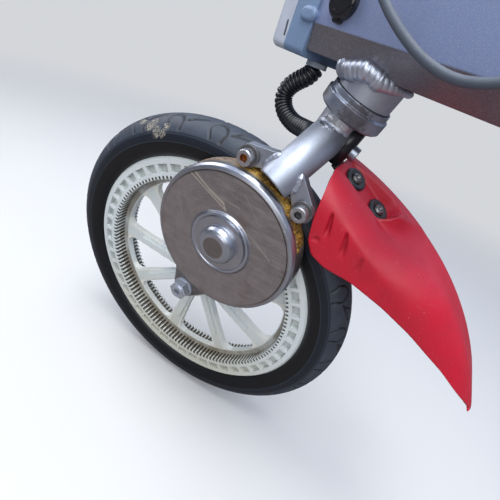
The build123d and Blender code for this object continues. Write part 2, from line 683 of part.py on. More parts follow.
tab_front, tab_back = -STUB_R, -STUB_R - BRACKET_THICK
floor_low = GUARD_WALL + BRACKET_THICK
bracket_end = -GUARD_BOLT_GAP - 10
bolt_seat = Plane(
    origin=(FORK_HEAD * Location((tab_back, 0, BRACKET_BOLT_AT))).position,
    z_dir=-fork_section.x_dir)
with BuildPart() as guard_bracket:
    with BuildSketch(fork_section):
        Polygon(
            (tab_front, BRACKET_TOP), (tab_back, BRACKET_TOP),
            (tab_back, where_floor_meets(tab_back, GUARD_WALL)),
            under_floor(bracket_end, GUARD_WALL), under_floor(bracket_end, floor_low),
            (tab_front, where_floor_meets(tab_front, floor_low)), align=None)
    extrude(amount=BRACKET_HALF_WIDE, both=True)
    with BuildSketch(bolt_seat):
        Circle(BRACKET_SHANK_R)
    extrude(amount=-BRACKET_THICK, mode=Mode.SUBTRACT)
save(guard_bracket, "guard_bracket")

with BuildPart() as bracket_bolt:
    with BuildSketch(bolt_seat):
        Circle(BRACKET_HEAD_R)
    extrude(amount=BRACKET_HEAD_HIGH)
    with BuildSketch(bolt_seat.offset(BRACKET_HEAD_HIGH)):
        RegularPolygon(3.4, 6)
    extrude(amount=-4, mode=Mode.SUBTRACT)
    with BuildSketch(bolt_seat):
        Circle(BRACKET_SHANK_R)
    extrude(amount=-BRACKET_THICK)
save(bracket_bolt, "bracket_bolt")

# Conduit, cable, port


def bend_radii(points):
    """Radius for each corner of a route, as large as its shorter run allows."""
    radii = []
    for before, here, after in zip(points, points[1:], points[2:]):
        into, out = Vector(*here) - Vector(*before), Vector(*after) - Vector(*here)
        turn = radians(into.get_angle(out))
        radii.append(0.45 * min(into.length, out.length) / tan(turn / 2))
    return radii


def tube(points, radius, room=None):
    """A round tube along straight runs joined by tangent arcs, kept out of a solid."""
    with BuildPart() as run:
        with BuildLine() as route:
            FilletPolyline(*points, radius=bend_radii(points))
        with BuildSketch(route.line ^ 0):
            Circle(radius)
        sweep()
        length = route.wires()[0].length
        print("bend radii", [round(r, 1) for r in bend_radii(points)],
              "length", round(length, 1), "volume over section times length",
              round(run.part.volume / (pi * radius ** 2 * length), 4))
        if room:
            add(room, mode=Mode.SUBTRACT)
    return run


with BuildPart() as leg_room:
    with BuildSketch(leg_plane):
        Circle(LEG_R + BEARING_GAP)
    extrude(amount=leg_long)
conduit = tube(CONDUIT_ROUTE, CONDUIT_R, leg_room.part)
save(conduit, "conduit")

with BuildPart() as conduit_gland:
    with BuildSketch(Plane(origin=CONDUIT_ROUTE[0])):
        RegularPolygon(GLAND_R, 6)
    extrude(amount=GLAND_HIGH)
    add(conduit.part, mode=Mode.SUBTRACT)
save(conduit_gland, "conduit_gland")

control_cable = tube(CABLE_ROUTE, CABLE_R)
save(control_cable, "control_cable")

with BuildPart() as cable_clip:
    clip_x, clip_y, clip_z = CABLE_ROUTE[-1]
    clip_out = clip_y + CABLE_R + 2
    with BuildSketch(Plane.YZ.offset(CLIP_START)):
        with Locations(((BEAM_HALF_WIDE + clip_out) / 2, clip_z)):
            Rectangle(clip_out - BEAM_HALF_WIDE, 2 * CABLE_R + 4)
    extrude(amount=CLIP_LONG)
    add(control_cable.part, mode=Mode.SUBTRACT)
save(cable_clip, "cable_clip")

with BuildPart() as cable_grommet:
    top_x, top_y, top_z = CABLE_ROUTE[0]
    with BuildSketch(Plane(origin=(top_x, BEAM_HALF_WIDE, top_z), z_dir=(0, 1, 0))):
        Circle(CABLE_R + 3)
    extrude(amount=top_y + 2 - BEAM_HALF_WIDE)
    add(control_cable.part, mode=Mode.SUBTRACT)
save(cable_grommet, "cable_grommet")

with BuildPart() as port_cap:
    with BuildSketch(Plane(origin=(PORT_AT[0], BEAM_HALF_WIDE, PORT_AT[1]), z_dir=(0, 1, 0))):
        Circle(PORT_R)
    extrude(amount=PORT_HIGH)
    fillet(port_cap.faces().sort_by(Axis.Y)[-1].edges(), 3)
    with BuildSketch(Plane.XZ.offset(-BEAM_HALF_WIDE - PORT_TAB_THICK)):
        with Locations(PORT_TAB_AT):
            RectangleRounded(PORT_TAB, PORT_TAB, PORT_TAB / 4)
    extrude(amount=PORT_TAB_THICK)
save(port_cap, "port_cap")
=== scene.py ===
"""Electric bicycle front end, dressed over its CAD frame.

Each operator finishes one group of pieces. Lengths inside the functions are in
millimetres from the wheel's hub or the steering head, and every mesh is written in
metres in the frame of the CAD model.
"""
import json
from functools import partialmethod
from math import cos, pi, radians, sin

import bmesh
import bpy
import numpy as np
from bpy.props import FloatProperty, FloatVectorProperty, IntProperty, PointerProperty
from mathutils import Matrix, Vector


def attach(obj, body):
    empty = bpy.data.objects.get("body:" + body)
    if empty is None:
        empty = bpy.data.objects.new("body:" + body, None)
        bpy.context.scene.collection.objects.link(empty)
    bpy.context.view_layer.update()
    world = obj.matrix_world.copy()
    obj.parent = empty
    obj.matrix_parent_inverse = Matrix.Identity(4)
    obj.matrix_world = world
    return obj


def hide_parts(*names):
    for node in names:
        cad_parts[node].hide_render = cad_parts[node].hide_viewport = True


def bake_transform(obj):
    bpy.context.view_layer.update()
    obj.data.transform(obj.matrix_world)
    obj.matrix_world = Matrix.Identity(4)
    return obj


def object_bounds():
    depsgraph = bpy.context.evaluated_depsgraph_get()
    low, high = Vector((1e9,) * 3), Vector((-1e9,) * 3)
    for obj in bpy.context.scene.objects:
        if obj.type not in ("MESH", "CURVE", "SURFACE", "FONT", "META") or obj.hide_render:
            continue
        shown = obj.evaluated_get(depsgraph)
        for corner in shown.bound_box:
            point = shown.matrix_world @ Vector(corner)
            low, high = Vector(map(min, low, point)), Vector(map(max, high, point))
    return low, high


bl_info = {
    "name": "Electric bicycle front end",
    "version": (1, 0, 0),
    "blender": (4, 5, 0),
    "location": "View3D > Sidebar > Front end",
    "description": "Finishes the front end of an electric bicycle over its CAD frame",
    "category": "Object",
}

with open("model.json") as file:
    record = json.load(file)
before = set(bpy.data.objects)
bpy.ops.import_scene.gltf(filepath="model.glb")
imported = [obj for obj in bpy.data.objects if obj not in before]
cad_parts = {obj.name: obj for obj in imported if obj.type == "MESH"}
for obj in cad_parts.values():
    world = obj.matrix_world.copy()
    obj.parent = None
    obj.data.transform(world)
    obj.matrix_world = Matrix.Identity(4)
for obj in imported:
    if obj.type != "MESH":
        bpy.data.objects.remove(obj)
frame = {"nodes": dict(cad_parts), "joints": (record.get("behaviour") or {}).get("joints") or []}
solid_box = [list(corner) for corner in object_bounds()]

# Places taken from the CAD model
JOINTS = {joint["name"]: joint for joint in frame["joints"]}
STEER_AXIS = Vector(JOINTS["steering"]["axis"]).normalized()
HUB = Vector(JOINTS["wheel_spin"]["pos_m"])
TURN = Matrix.Rotation(radians(25.8), 3, STEER_AXIS)   # the fork stands turned left
CUP_BOTTOM = Vector((0.125448, 0.0, -0.085696))        # on the steering axis
HEAD_R = 0.0245                       # the head tube
BEAM_HALF = 0.055                     # half the beam's height
LEG_R, LEG_LONG = 0.0164, 0.079       # the leg tube, from inside the stub to its end
STUB_R = 0.0168                       # the stub under the lower cup
STUB_AT = (0.0022, 0.0046)            # its middle, forward and left of the steering axis
CONDUIT_R, CLOSED_R = 0.0083, 0.0004  # over the conduit's rings, and at its closed ends
CABLE_R = 0.003
LUG_WELD_LEFT = 0.0425                # where the lugs are welded, left of the hub
# The tyre's section in millimetres, as radius and left
BEAD, WIDEST, SHOULDER, CROWN = (158, 18), (176, 25), (192, 18.5), (200, 0)
# Places in millimetres, forward and up from the hub
AT_HUB = (0.0, 0.0, 0.0)
DRUM_AT, DRUM_R = (-45.7, 110.8), 77.9          # the drum's centre and its wall
LUG_RING = 88.4                                 # the lugs' distance from the drum's centre
LUG_PLACES = [(DRUM_AT[0] + LUG_RING * cos(radians(a)), DRUM_AT[1] + LUG_RING * sin(radians(a)))
              for a in (89.8, 134.2)]
GUARD_AT, GUARD_R = (-37.0, -106.0), 330.0      # the guard's arc
GUARD_EDGE = [
    (-114.0, 240.0), (-117.0, 205.0), (-118.0, 170.0), (-121.0, 150.0), (-129.0, 138.0),
    (-144.0, 132.0), (-172.0, 131.0), (-205.0, 123.0), (-238.0, 111.0), (-275.0, 92.0),
    (-312.0, 66.0), (-330.0, 50.0),
]
FLOOR_AT, FLOOR_SLOPE = (-131.0, 202.5), 31.0   # the guard's bolt seat
CHANNEL_FROM, CHANNEL_TO, CHANNEL_HALF = -34.5, 60.0, 11.6    # the channel round that seat
# Scratches on the drum: forward and up at both ends, width, and how clear it is
DRUM_SCRATCHES = [
    (45.3, 55.9, 2.0, 37.3, 1.1, 1.0), (40.1, 58.3, 22.2, 48.8, 1.6, 1.0),
    (22.2, 48.8, 5.9, 43.0, 2.3, 1.0), (5.9, 43.0, 2.0, 37.3, 1.5, 1.0),
    (10.0, 47.2, -11.1, 45.9, 0.7, 0.6), (-26.2, 25.6, -53.9, 11.1, 1.2, 0.5),
    (-30.0, 27.0, -44.0, 17.0, 0.6, 0.4), (56.0, 30.0, 48.0, 8.0, 0.5, 0.5),
    (30.0, -22.0, 12.0, -48.0, 0.5, 0.5), (-12.0, 62.0, -34.0, 40.0, 0.5, 0.4),
]
# Mud on the tread: degrees round the wheel, radius, left and width
MUD_SPOTS = [
    (66.0, 184.6, 23.2, 6.0), (68.6, 183.0, 23.8, 4.4), (62.5, 190.0, 20.0, 5.0),
    (58.5, 196.0, 13.0, 4.5), (70.2, 190.0, 20.4, 4.0), (64.0, 193.0, 17.0, 6.0),
]
# Routes forward, left and up in the CAD frame
CONDUIT_ROUTE = [
    (172, 10, -65), (174.5, 10.5, -72), (184, 12, -79), (192, 14, -88.5), (192, 14.5, -99),
    (183, 15, -108), (168, 15.3, -112), (157, 17, -111.5), (142, 20.5, -110),
]
CABLE_ROUTE = [
    (146, 40.5, 28), (146, 49.5, 28), (137, 52, 14), (121, 52, -1), (102, 51, -18),
    (81, 50, -30.5), (60, 49, -39.5), (41, 46, -43), (26, 43, -40), (13, 41, -34),
    (3, 41, -31),
]


def paint(red, green, blue):
    """A colour as it looks on a screen, 0 to 255, in the renderer's own measure."""
    return tuple(
        c / 12.92 if c <= 0.04045 else ((c + 0.055) / 1.055) ** 2.4
        for c in (red / 255, green / 255, blue / 255)
    )


# Sizes and colours that a user may change
def size(name, description, default, low, high):
    return FloatProperty(
        name=name, description=description, default=default, min=low, max=high, unit="LENGTH")


def colour(name, description, default):
    return FloatVectorProperty(
        name=name, description=description, default=paint(*default), subtype="COLOR",
        size=3, min=0, max=1)


class FrontEndSizes(bpy.types.PropertyGroup):
    sipe_deep: size("Groove depth", "Depth of the tread's grooves", 0.0018, 0, 0.003)
    sipe_wide: size("Groove width", "Width of the tread's grooves", 0.0032, 0.0005, 0.004)
    tread_repeats: IntProperty(
        name="Tread repeats", description="How often the tread pattern repeats round the tyre",
        default=23, min=8, max=48)
    ring_pitch: size("Conduit ring pitch", "Distance from ring to ring", 0.0037, 0.002, 0.006)
    ring_deep: size("Conduit ring depth", "Depth between two rings", 0.0018, 0.0002, 0.003)
    bead_ripple: size("Weld ripple", "Usual distance between a weld's ripples", 0.0050,
                      0.001, 0.008)
    dent_deep: size("Guard dents", "Depth of the streaks in the guard", 0.0032, 0, 0.005)
    guard_wall: size("Guard wall", "Thickness of the guard", 0.0026, 0.001, 0.003)


class FrontEndColours(bpy.types.PropertyGroup):
    rubber: colour("Rubber", "The tyre's tread", (58, 66, 78))
    nylon: colour("Nylon", "The moulded wheel", (222, 228, 226))
    guard: colour("Guard", "The mudguard", (198, 18, 46))
    aluminium: colour("Aluminium", "The fork leg and the head tube", (190, 196, 208))
    drum: colour("Drum face", "The dull face of the motor's drum", (178, 172, 172))
    beam: colour("Beam paint", "The metallic paint of the frame", (152, 166, 208))
    nose: colour("Nose cap", "The plastic cap of the beam", (110, 132, 162))
    trim: colour("Trim", "The pale strip before the cap", (176, 182, 194))
    rust: colour("Rust", "Rust on the drum and in the bolts", (150, 78, 30))
    grease: colour("Grease", "Old grease at the drum's edge", (176, 138, 46))
    floor: colour("Floor", "The floor of the stage", (222, 220, 216))


def sizes():
    return bpy.context.scene.front_end_sizes


def colours():
    return bpy.context.scene.front_end_colours


# Short ways to write nodes
class Nodes:
    """Adds nodes to a material or a group and joins them."""

    def __init__(self, tree):
        self.tree = tree

    def put(self, socket, value):
        if isinstance(value, bpy.types.NodeSocket):
            self.tree.links.new(value, socket)
        elif value is not None:
            wide = getattr(socket, "type", "") == "RGBA" and len(value) == 3
            socket.default_value = (*value, 1.0) if wide else value

    def add(self, kind, inputs=None, **settings):
        node = self.tree.nodes.new(kind)
        for key, value in settings.items():
            setattr(node, key, value)
        for key, value in (inputs or {}).items():
            self.put(node.inputs[key], value)
        return node.outputs

    def math(self, operation, *values, clamp=False):
        return self.add("ShaderNodeMath", dict(enumerate(values)),
                        operation=operation, use_clamp=clamp)[0]

    times = partialmethod(math, "MULTIPLY")
    plus = partialmethod(math, "ADD")
    most = partialmethod(math, "MAXIMUM")

    def vector(self, operation, *values):
        keys = (0, "Scale") if operation == "SCALE" else range(len(values))
        outputs = self.add("ShaderNodeVectorMath", dict(zip(keys, values)), operation=operation)
        plain = operation in ("LENGTH", "DOT_PRODUCT", "DISTANCE")
        return outputs["Value" if plain else "Vector"]

    def in_mm(self, place):
        return self.vector("SCALE", place, 1000.0)

    def parts(self, place):
        return self.add("ShaderNodeSeparateXYZ", {0: place})

    def stretched(self, place, scale, turn=(0.0, 0.0, 0.0)):
        return self.add("ShaderNodeMapping", {"Vector": place, "Rotation": turn,
                                              "Scale": scale})[0]

    def mix(self, factor, low, high):
        return self.add("ShaderNodeMix", {0: factor, 6: low, 7: high}, data_type="RGBA")[2]

    def coat(self, tone, mask, share, top):
        """A tone under a coat that shows as much as its mask times its share."""
        return self.mix(self.times(mask, share), tone, top)

    def between(self, factor, low, high):
        return self.add("ShaderNodeMapRange", {0: factor, 3: low, 4: high})[0]

    def step(self, value, low, high):
        return self.add("ShaderNodeMapRange", {0: value, 1: low, 2: high},
                        interpolation_type="SMOOTHSTEP")[0]

    def band(self, value, low, high, soft):
        return self.times(self.step(value, low - soft, low + soft),
                          self.step(value, high + soft, high - soft))

    def noise(self, place, scale, detail=3.0, rough=0.55, twist=0.0):
        return self.add("ShaderNodeTexNoise", {
            "Vector": place, "Scale": scale, "Detail": detail, "Roughness": rough,
            "Distortion": twist})["Fac"]

    def group(self, name, **inputs):
        return self.add("ShaderNodeGroup", inputs, node_tree=bpy.data.node_groups[name])

    def mask(self, name, **inputs):
        return self.group(name, **inputs)["Mask"]

    def object_place(self):
        return self.add("ShaderNodeTexCoord")["Object"]

    def bump(self, height, distance, strength=1.0, normal=None):
        return self.add("ShaderNodeBump", {"Height": height, "Distance": distance,
                                           "Strength": strength, "Normal": normal})[0]


MASK = {"Mask": 0.0}


def new_group(name, outputs, **inputs):
    """A shader node group, its nodes and its ends; a socket set to None is a vector."""
    tree = bpy.data.node_groups.new(name, "ShaderNodeTree")
    for sockets, way in ((inputs, "INPUT"), (outputs, "OUTPUT")):
        for label, value in sockets.items():
            kind = "NodeSocketVector" if value is None else "NodeSocketFloat"
            socket = tree.interface.new_socket(name=label, in_out=way, socket_type=kind)
            if value is not None:
                socket.default_value = value
    start = tree.nodes.new("NodeGroupInput").outputs
    end = tree.nodes.new("NodeGroupOutput").inputs
    return Nodes(tree), start, end


def make_groups():
    """The effects that more than one finish uses."""
    n, start, end = new_group(
        "Wheel place", {"Place": None, "Radius": 0.0, "Angle": 0.0, "Left": 0.0}, Centre=None)
    local = n.add("ShaderNodeMapping", {
        "Vector": n.object_place(), "Location": HUB, "Rotation": TURN.to_euler(),
        "Scale": (0.001, 0.001, 0.001)}, vector_type="TEXTURE")[0]
    local = n.vector("SUBTRACT", local, start["Centre"])
    parts = n.parts(local)
    flat = n.add("ShaderNodeCombineXYZ", {0: parts["X"], 1: parts["Z"]})[0]
    n.put(end["Place"], local)
    n.put(end["Radius"], n.vector("LENGTH", flat))
    n.put(end["Angle"], n.math("DEGREES", n.math("ARCTAN2", parts["Z"], parts["X"])))
    n.put(end["Left"], parts["Y"])

    n, start, end = new_group(
        "Line mark", MASK, Place=None, From=None, To=None, Width=1.0, Ragged=0.5)
    shake = n.add("ShaderNodeTexNoise", {"Vector": start["Place"], "Scale": 0.9, "Detail": 3.0})
    shake = n.vector("SUBTRACT", shake["Color"], (0.5, 0.5, 0.5))
    place = n.vector("ADD", start["Place"], n.vector("SCALE", shake, start["Ragged"]))
    along = n.vector("SUBTRACT", start["To"], start["From"])
    offset = n.vector("SUBTRACT", place, start["From"])
    share = n.math("DIVIDE", n.vector("DOT_PRODUCT", offset, along),
                   n.vector("DOT_PRODUCT", along, along), clamp=True)
    near = n.vector("LENGTH", n.vector("SUBTRACT", offset, n.vector("SCALE", along, share)))
    n.put(end["Mask"], n.step(n.math("DIVIDE", near, start["Width"]), 1.0, 0.25))

    n, start, end = new_group("Spot mark", MASK, Place=None, Centre=None, Size=5.0, Ragged=0.5)
    away = n.math("DIVIDE", n.vector("DISTANCE", start["Place"], start["Centre"]), start["Size"])
    rough = n.math("SUBTRACT", n.noise(start["Place"], 0.35, 5.0, 0.65), 0.5)
    rough = n.times(rough, n.times(start["Ragged"], 3.0))
    n.put(end["Mask"], n.step(n.plus(away, rough), 1.0, 0.6))

    n, start, end = new_group("Rounded edge", {"Normal": None, "Wear": 0.0}, Radius=0.001)
    soft = n.add("ShaderNodeBevel", {"Radius": start["Radius"]}, samples=6)[0]
    true = n.add("ShaderNodeNewGeometry")["Normal"]
    n.put(end["Normal"], soft)
    n.put(end["Wear"], n.step(n.vector("DOT_PRODUCT", soft, true), 0.985, 0.86))

    n, start, end = new_group("Grain", {"Cloud": 0.0, "Speck": 0.0, "Height": 0.0},
                              Place=None, Coarse=60.0, Fine=900.0)
    cloud = n.noise(start["Place"], start["Coarse"], 4.0, 0.6)
    speck = n.noise(start["Place"], start["Fine"], 2.0, 0.7)
    n.put(end["Cloud"], n.step(cloud, 0.32, 0.68))
    n.put(end["Speck"], speck)
    n.put(end["Height"], n.plus(n.times(cloud, 0.4), speck))

    n, start, end = new_group("Dust", MASK, Place=None, Amount=0.2, Size=600.0)
    facing = n.parts(n.add("ShaderNodeTexCoord")["Normal"])["Z"]
    film = n.times(n.step(facing, -0.1, 0.95), n.noise(start["Place"], 38.0, 5.0, 0.7))
    motes = n.step(n.noise(start["Place"], start["Size"], 1.0), 0.70, 0.76)
    n.put(end["Mask"], n.times(start["Amount"], n.plus(film, motes), clamp=True))

    n, start, end = new_group("Fine scratches", MASK, Place=None, Amount=0.5)
    total = 0.0
    for turn, stretch in ((0.4, 44.0), (1.5, 36.0), (2.6, 52.0)):
        line = n.stretched(start["Place"], (45.0, 45.0 * stretch, 45.0 * stretch),
                           (turn, turn * 0.7, turn * 1.3))
        total = n.most(total, n.step(n.noise(line, 1.0, 1.0, 0.4), 0.71, 0.77))
    n.put(end["Mask"], n.times(total, start["Amount"]))


class Finish:
    """A material with one Principled BSDF, its place, its grain and its rounded edges.

    With a centre the place is in millimetres forward, left and up from it in the turned
    fork, and without one it is in metres in the CAD frame.
    """

    def __init__(self, name, coarse=None, fine=None, edge=None, centre=None):
        self.material = bpy.data.materials.new(name)
        self.material.use_nodes = True
        tree = self.material.node_tree
        self.shader = tree.nodes["Principled BSDF"]
        n = self.n = Nodes(tree)
        if centre:
            self.place, self.radius, self.angle, self.left = n.group("Wheel place", Centre=centre)
        else:
            self.place = n.object_place()
        if coarse:
            self.cloud, self.speck, self.height = n.group(
                "Grain", Place=self.place, Coarse=coarse, Fine=fine)
        self.normal, self.wear = n.group("Rounded edge", Radius=edge) if edge else (None, None)

    def set(self, **values):
        for key, value in values.items():
            self.n.put(self.shader.inputs[key.replace("_", " ")], value)
        return self.material


def toned(tone, share):
    """A colour made darker or brighter."""
    return tuple(c * share for c in tone)


def dress(material, *names):
    """Give CAD nodes their finish."""
    for name in names:
        node = frame["nodes"][name]
        if not node.material_slots:
            raise RuntimeError(f"{name} has no material slot")
        for slot in node.material_slots:
            slot.material = material


def by_wheel(points):
    """Points forward, left and up from the hub in millimetres, in the CAD frame in metres."""
    return np.asarray(points, float) / 1000 @ np.array(TURN).T + np.array(HUB)


def mesh_piece(name, points, faces, material, body):
    """A smooth mesh piece that rides on a body."""
    mesh = bpy.data.meshes.new(name)
    mesh.from_pydata([tuple(p) for p in points], [], [tuple(int(i) for i in f) for f in faces])
    mesh.polygons.foreach_set("use_smooth", [True] * len(mesh.polygons))
    mesh.materials.append(material)
    mesh.update()
    piece = bpy.data.objects.new(name, mesh)
    bpy.context.scene.collection.objects.link(piece)
    if body:
        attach(piece, body)
    return piece


def mark(piece, name, values):
    """Write values on a piece's points for its finish to read."""
    layer = piece.data.attributes.new(name, "FLOAT", "POINT")
    layer.data.foreach_set("value", values.ravel().astype(np.float32))


def corners_and_faces(shape):
    """The corners and faces of a bmesh as numbers, and the end of that bmesh."""
    shape.verts.index_update()
    corners = np.array([v.co for v in shape.verts])
    faces = [[v.index for v in face.verts] for face in shape.faces]
    shape.free()
    return corners, faces


def grid_faces(rows, columns, close_rows=False, close_columns=False):
    """Four-sided faces of a grid of points, row by row."""
    r = np.arange(rows if close_rows else rows - 1)
    c = np.arange(columns if close_columns else columns - 1)
    r, c = (a.ravel() for a in np.meshgrid(r, c, indexing="ij"))
    down, along = (r + 1) % rows, (c + 1) % columns
    return np.stack((r * columns + c, r * columns + along, down * columns + along,
                     down * columns + c), 1)


def arc(start, middle, end, count):
    """Points on the round arc through three points of a plane."""
    (x1, y1), (x2, y2), (x3, y3) = start, middle, end
    sides = 2 * np.array(((x2 - x1, y2 - y1), (x3 - x1, y3 - y1)), float)
    squares = np.array((x2**2 - x1**2 + y2**2 - y1**2, x3**2 - x1**2 + y3**2 - y1**2))
    centre = np.linalg.solve(sides, squares)
    radius = np.hypot(*(np.array(start) - centre))
    turns = np.unwrap([np.arctan2(p[1] - centre[1], p[0] - centre[0])
                       for p in (start, middle, end)])
    turn = np.linspace(turns[0], turns[2], count)
    return np.stack((centre[0] + radius * np.cos(turn), centre[1] + radius * np.sin(turn)), 1)


def smooth(value, low, high):
    """0 below low, 1 above high, and soft between."""
    share = np.clip((value - low) / (high - low), 0, 1)
    return share * share * (3 - 2 * share)


def unit(ways):
    """Directions brought to a length of one."""
    return ways / np.linalg.norm(ways, axis=-1, keepdims=True)


def full_turn(count):
    """Angles evenly round a full turn."""
    return np.linspace(0, 2 * pi, count, endpoint=False)


def round_ways(turn, first, second):
    """Directions at angles from the first way towards the second."""
    return np.cos(turn)[..., None] * first + np.sin(turn)[..., None] * second


def line_length(points):
    """How far along a line each of its points lies."""
    return np.concatenate(((0,), np.cumsum(np.linalg.norm(np.diff(points, axis=0), axis=1))))


def on_line(want, length, points):
    """The points of a line at distances along it."""
    return np.stack([np.interp(want, length, column) for column in points.T], 1)


# Finishes
def satin_aluminium(name, tone, rough, melted=()):
    """Bare aluminium, blasted and handled, with bright swirls where it was melted."""
    f = Finish(name, 34.0, 1500.0, 0.0009)
    n, place = f.n, f.place
    bright = toned(colours().aluminium, tone)
    base = n.mix(f.cloud, bright, toned(bright, 0.74))
    scratch = n.mask("Fine scratches", Place=place, Amount=0.5)
    base = n.coat(base, scratch, 0.6, paint(235, 238, 244))
    base = n.coat(base, f.wear, 0.5, paint(240, 242, 246))
    roughness, height = n.between(f.cloud, rough, rough + 0.13), f.height
    for centre, wide in melted:
        spot = n.mask("Spot mark", Place=n.in_mm(place), Centre=centre, Size=wide, Ragged=0.3)
        swirl = n.noise(place, 170.0, 2.0, 0.5, 1.6)
        base = n.coat(base, spot, 0.75, n.mix(swirl, paint(186, 194, 206), paint(250, 251, 252)))
        roughness = n.between(spot, roughness, 0.3)
        height = n.plus(height, n.times(n.times(spot, swirl), 14.0))
    return f.set(Base_Color=base, Metallic=1.0, Roughness=roughness,
                 Normal=n.bump(height, 0.00006, 0.6, f.normal))


def worn_steel(name, base, rough, dirt_and_shade=(70, 58, 48), dirt_share=0.5, spots=()):
    """Steel with edge wear, grime, and patches at given places, which are smudges, rust, painted
    shade and painted reflection.
    """
    f = Finish(name, 95.0, 1100.0, 0.0008)
    n, place = f.n, f.place
    tone = n.mix(n.times(f.cloud, dirt_share), paint(*base), paint(*dirt_and_shade))
    smear = 0.0
    for centre, wide, patch_tone, strength in spots:
        mask = n.mask("Spot mark", Place=n.in_mm(place), Centre=centre, Size=wide, Ragged=0.35)
        tone = n.coat(tone, mask, strength, paint(*patch_tone))
        smear = n.most(smear, mask)
    tone = n.coat(tone, f.wear, 0.4, paint(205, 206, 208))
    scratch = n.mask("Fine scratches", Place=place, Amount=0.4)
    tone = n.mix(scratch, tone, paint(190, 190, 190))
    roughness = n.plus(n.between(f.cloud, rough, rough + 0.2), n.times(smear, 0.2))
    return f.set(Base_Color=tone, Metallic=1.0, Roughness=roughness,
                 Normal=n.bump(f.height, 0.00008, 0.6, f.normal))


def drum_finish():
    """A dull turned face with painted shade at its upper rear, a polished ring and boss with
    painted highlights, a painted shadow line, and rust and grease on the side wall.
    """
    f = Finish("drum_metal", 0.05, 1.6, 0.0012, (DRUM_AT[0], 0.0, DRUM_AT[1]))
    n, place, radius, angle, left = f.n, f.place, f.radius, f.angle, f.left
    turned = n.add("ShaderNodeCombineXYZ", {0: radius, 1: n.times(angle, 0.01)})[0]
    rings = n.noise(turned, 1.5, 3.0, 0.75)
    face = colours().drum
    tone = n.mix(f.cloud, face, toned(face, 0.8))
    tone = n.coat(tone, n.step(rings, 0.42, 0.66), 0.3, toned(face, 1.35))
    # painted shade: the upper rear part of the face is darker and streaked
    streaky = n.stretched(place, (0.022, 0.022, 0.16), (0.0, radians(42), 0.0))
    streaky = n.step(n.noise(streaky, 1.0, 5.0, 0.7), 0.36, 0.62)
    shade = n.step(n.vector("DOT_PRODUCT", place, (-0.6, 0.0, 0.8)), -30.0, 66.0)
    tone = n.coat(tone, streaky, n.between(shade, 0.06, 0.42), toned(face, 0.4))
    stain = n.step(n.noise(place, 0.03, 5.0, 0.7), 0.55, 0.68)
    tone = n.coat(tone, stain, 0.35, paint(134, 112, 96))
    scratch = n.mask("Fine scratches", Place=n.vector("SCALE", place, 0.001), Amount=0.5)
    for x1, z1, x2, z2, wide, clear in DRUM_SCRATCHES:
        line = n.mask("Line mark", Place=place, From=(x1, 60, z1), To=(x2, 60, z2), Width=wide,
                      Ragged=0.9)
        scratch = n.most(scratch, n.times(line, clear))
    # a raised ring stands round the boss, and both are polished and carry painted highlights, as
    # does the upper side of the face's rounded rim
    ridge = n.step(n.math("ABSOLUTE", n.math("SUBTRACT", radius, 31.2)), 3.4, 0.2)
    polish_and_highlight = n.most(n.band(radius, 28.6, 34.4, 0.8), n.band(radius, 11.4, 21.5, 0.8))
    above = n.step(n.vector("DOT_PRODUCT", place, (-0.574, 0.0, 0.819)), -40.0, 34.0)
    rim = n.times(n.band(radius, 73.8, 79.0, 0.5), n.between(above, 0.25, 1.0))
    polish_and_highlight = n.times(n.most(polish_and_highlight, rim), n.step(left, 53.5, 55.0))
    half = n.times(n.band(radius, 20.0, 30.0, 1.0), 0.45)
    tone = n.mix(n.most(n.times(polish_and_highlight, 0.9), half), tone, paint(186, 192, 204))
    chips = n.step(n.noise(place, 0.22, 4.0, 0.8), 0.62, 0.70)
    tone = n.coat(tone, chips, 0.45, paint(200, 196, 192))
    tone = n.coat(tone, scratch, 0.9, paint(226, 220, 208))
    # painted shadow: a dark line in the groove just inside the rim, on the upper side only
    tone = n.coat(tone, n.band(radius, 71.6, 72.8, 0.5), n.between(above, 0.12, 0.8),
                  paint(34, 34, 40))
    top = n.times(n.step(radius, 11.6, 10.4), n.step(left, 68.0, 70.0))
    tone = n.coat(tone, top, 0.6, paint(122, 112, 106))
    # the side wall: grey metal, rusty and greasy above
    side = n.step(left, 54.6, 53.4)
    grey = n.mix(f.cloud, paint(168, 164, 162), paint(124, 118, 112))
    crumbs = n.noise(place, 0.38, 6.0, 0.72)
    rust = n.times(n.step(left, 51.0, 43.0), n.step(crumbs, 0.44, 0.58))
    rust = n.times(rust, n.band(angle, 30.0, 150.0, 14.0))
    grey = n.coat(grey, rust, 0.6, n.mix(n.step(crumbs, 0.5, 0.6), colours().rust,
                                         colours().grease))
    greased = n.times(n.band(angle, 84.0, 158.0, 6.0), n.step(left, 53.5, 48.0))
    greased = n.times(greased, n.step(crumbs, 0.36, 0.48))
    grey = n.mix(greased, grey, n.mix(n.step(crumbs, 0.52, 0.60), colours().grease,
                                      paint(92, 58, 30)))
    tone = n.mix(side, tone, grey)
    smear = n.times(side, n.most(greased, rust))
    roughness = n.between(polish_and_highlight, n.between(f.cloud, 0.36, 0.46), 0.28)
    roughness = n.plus(roughness, n.times(smear, 0.3))
    height = n.plus(n.times(smear, crumbs), n.times(scratch, -0.5))
    height = n.plus(n.times(f.speck, 0.3), height)
    lifted = n.bump(ridge, 0.0016, 1.0, f.normal)
    return f.set(Base_Color=tone, Metallic=n.between(smear, 0.95, 0.05), Roughness=roughness,
                 Normal=n.bump(height, 0.0003, 0.5, lifted))


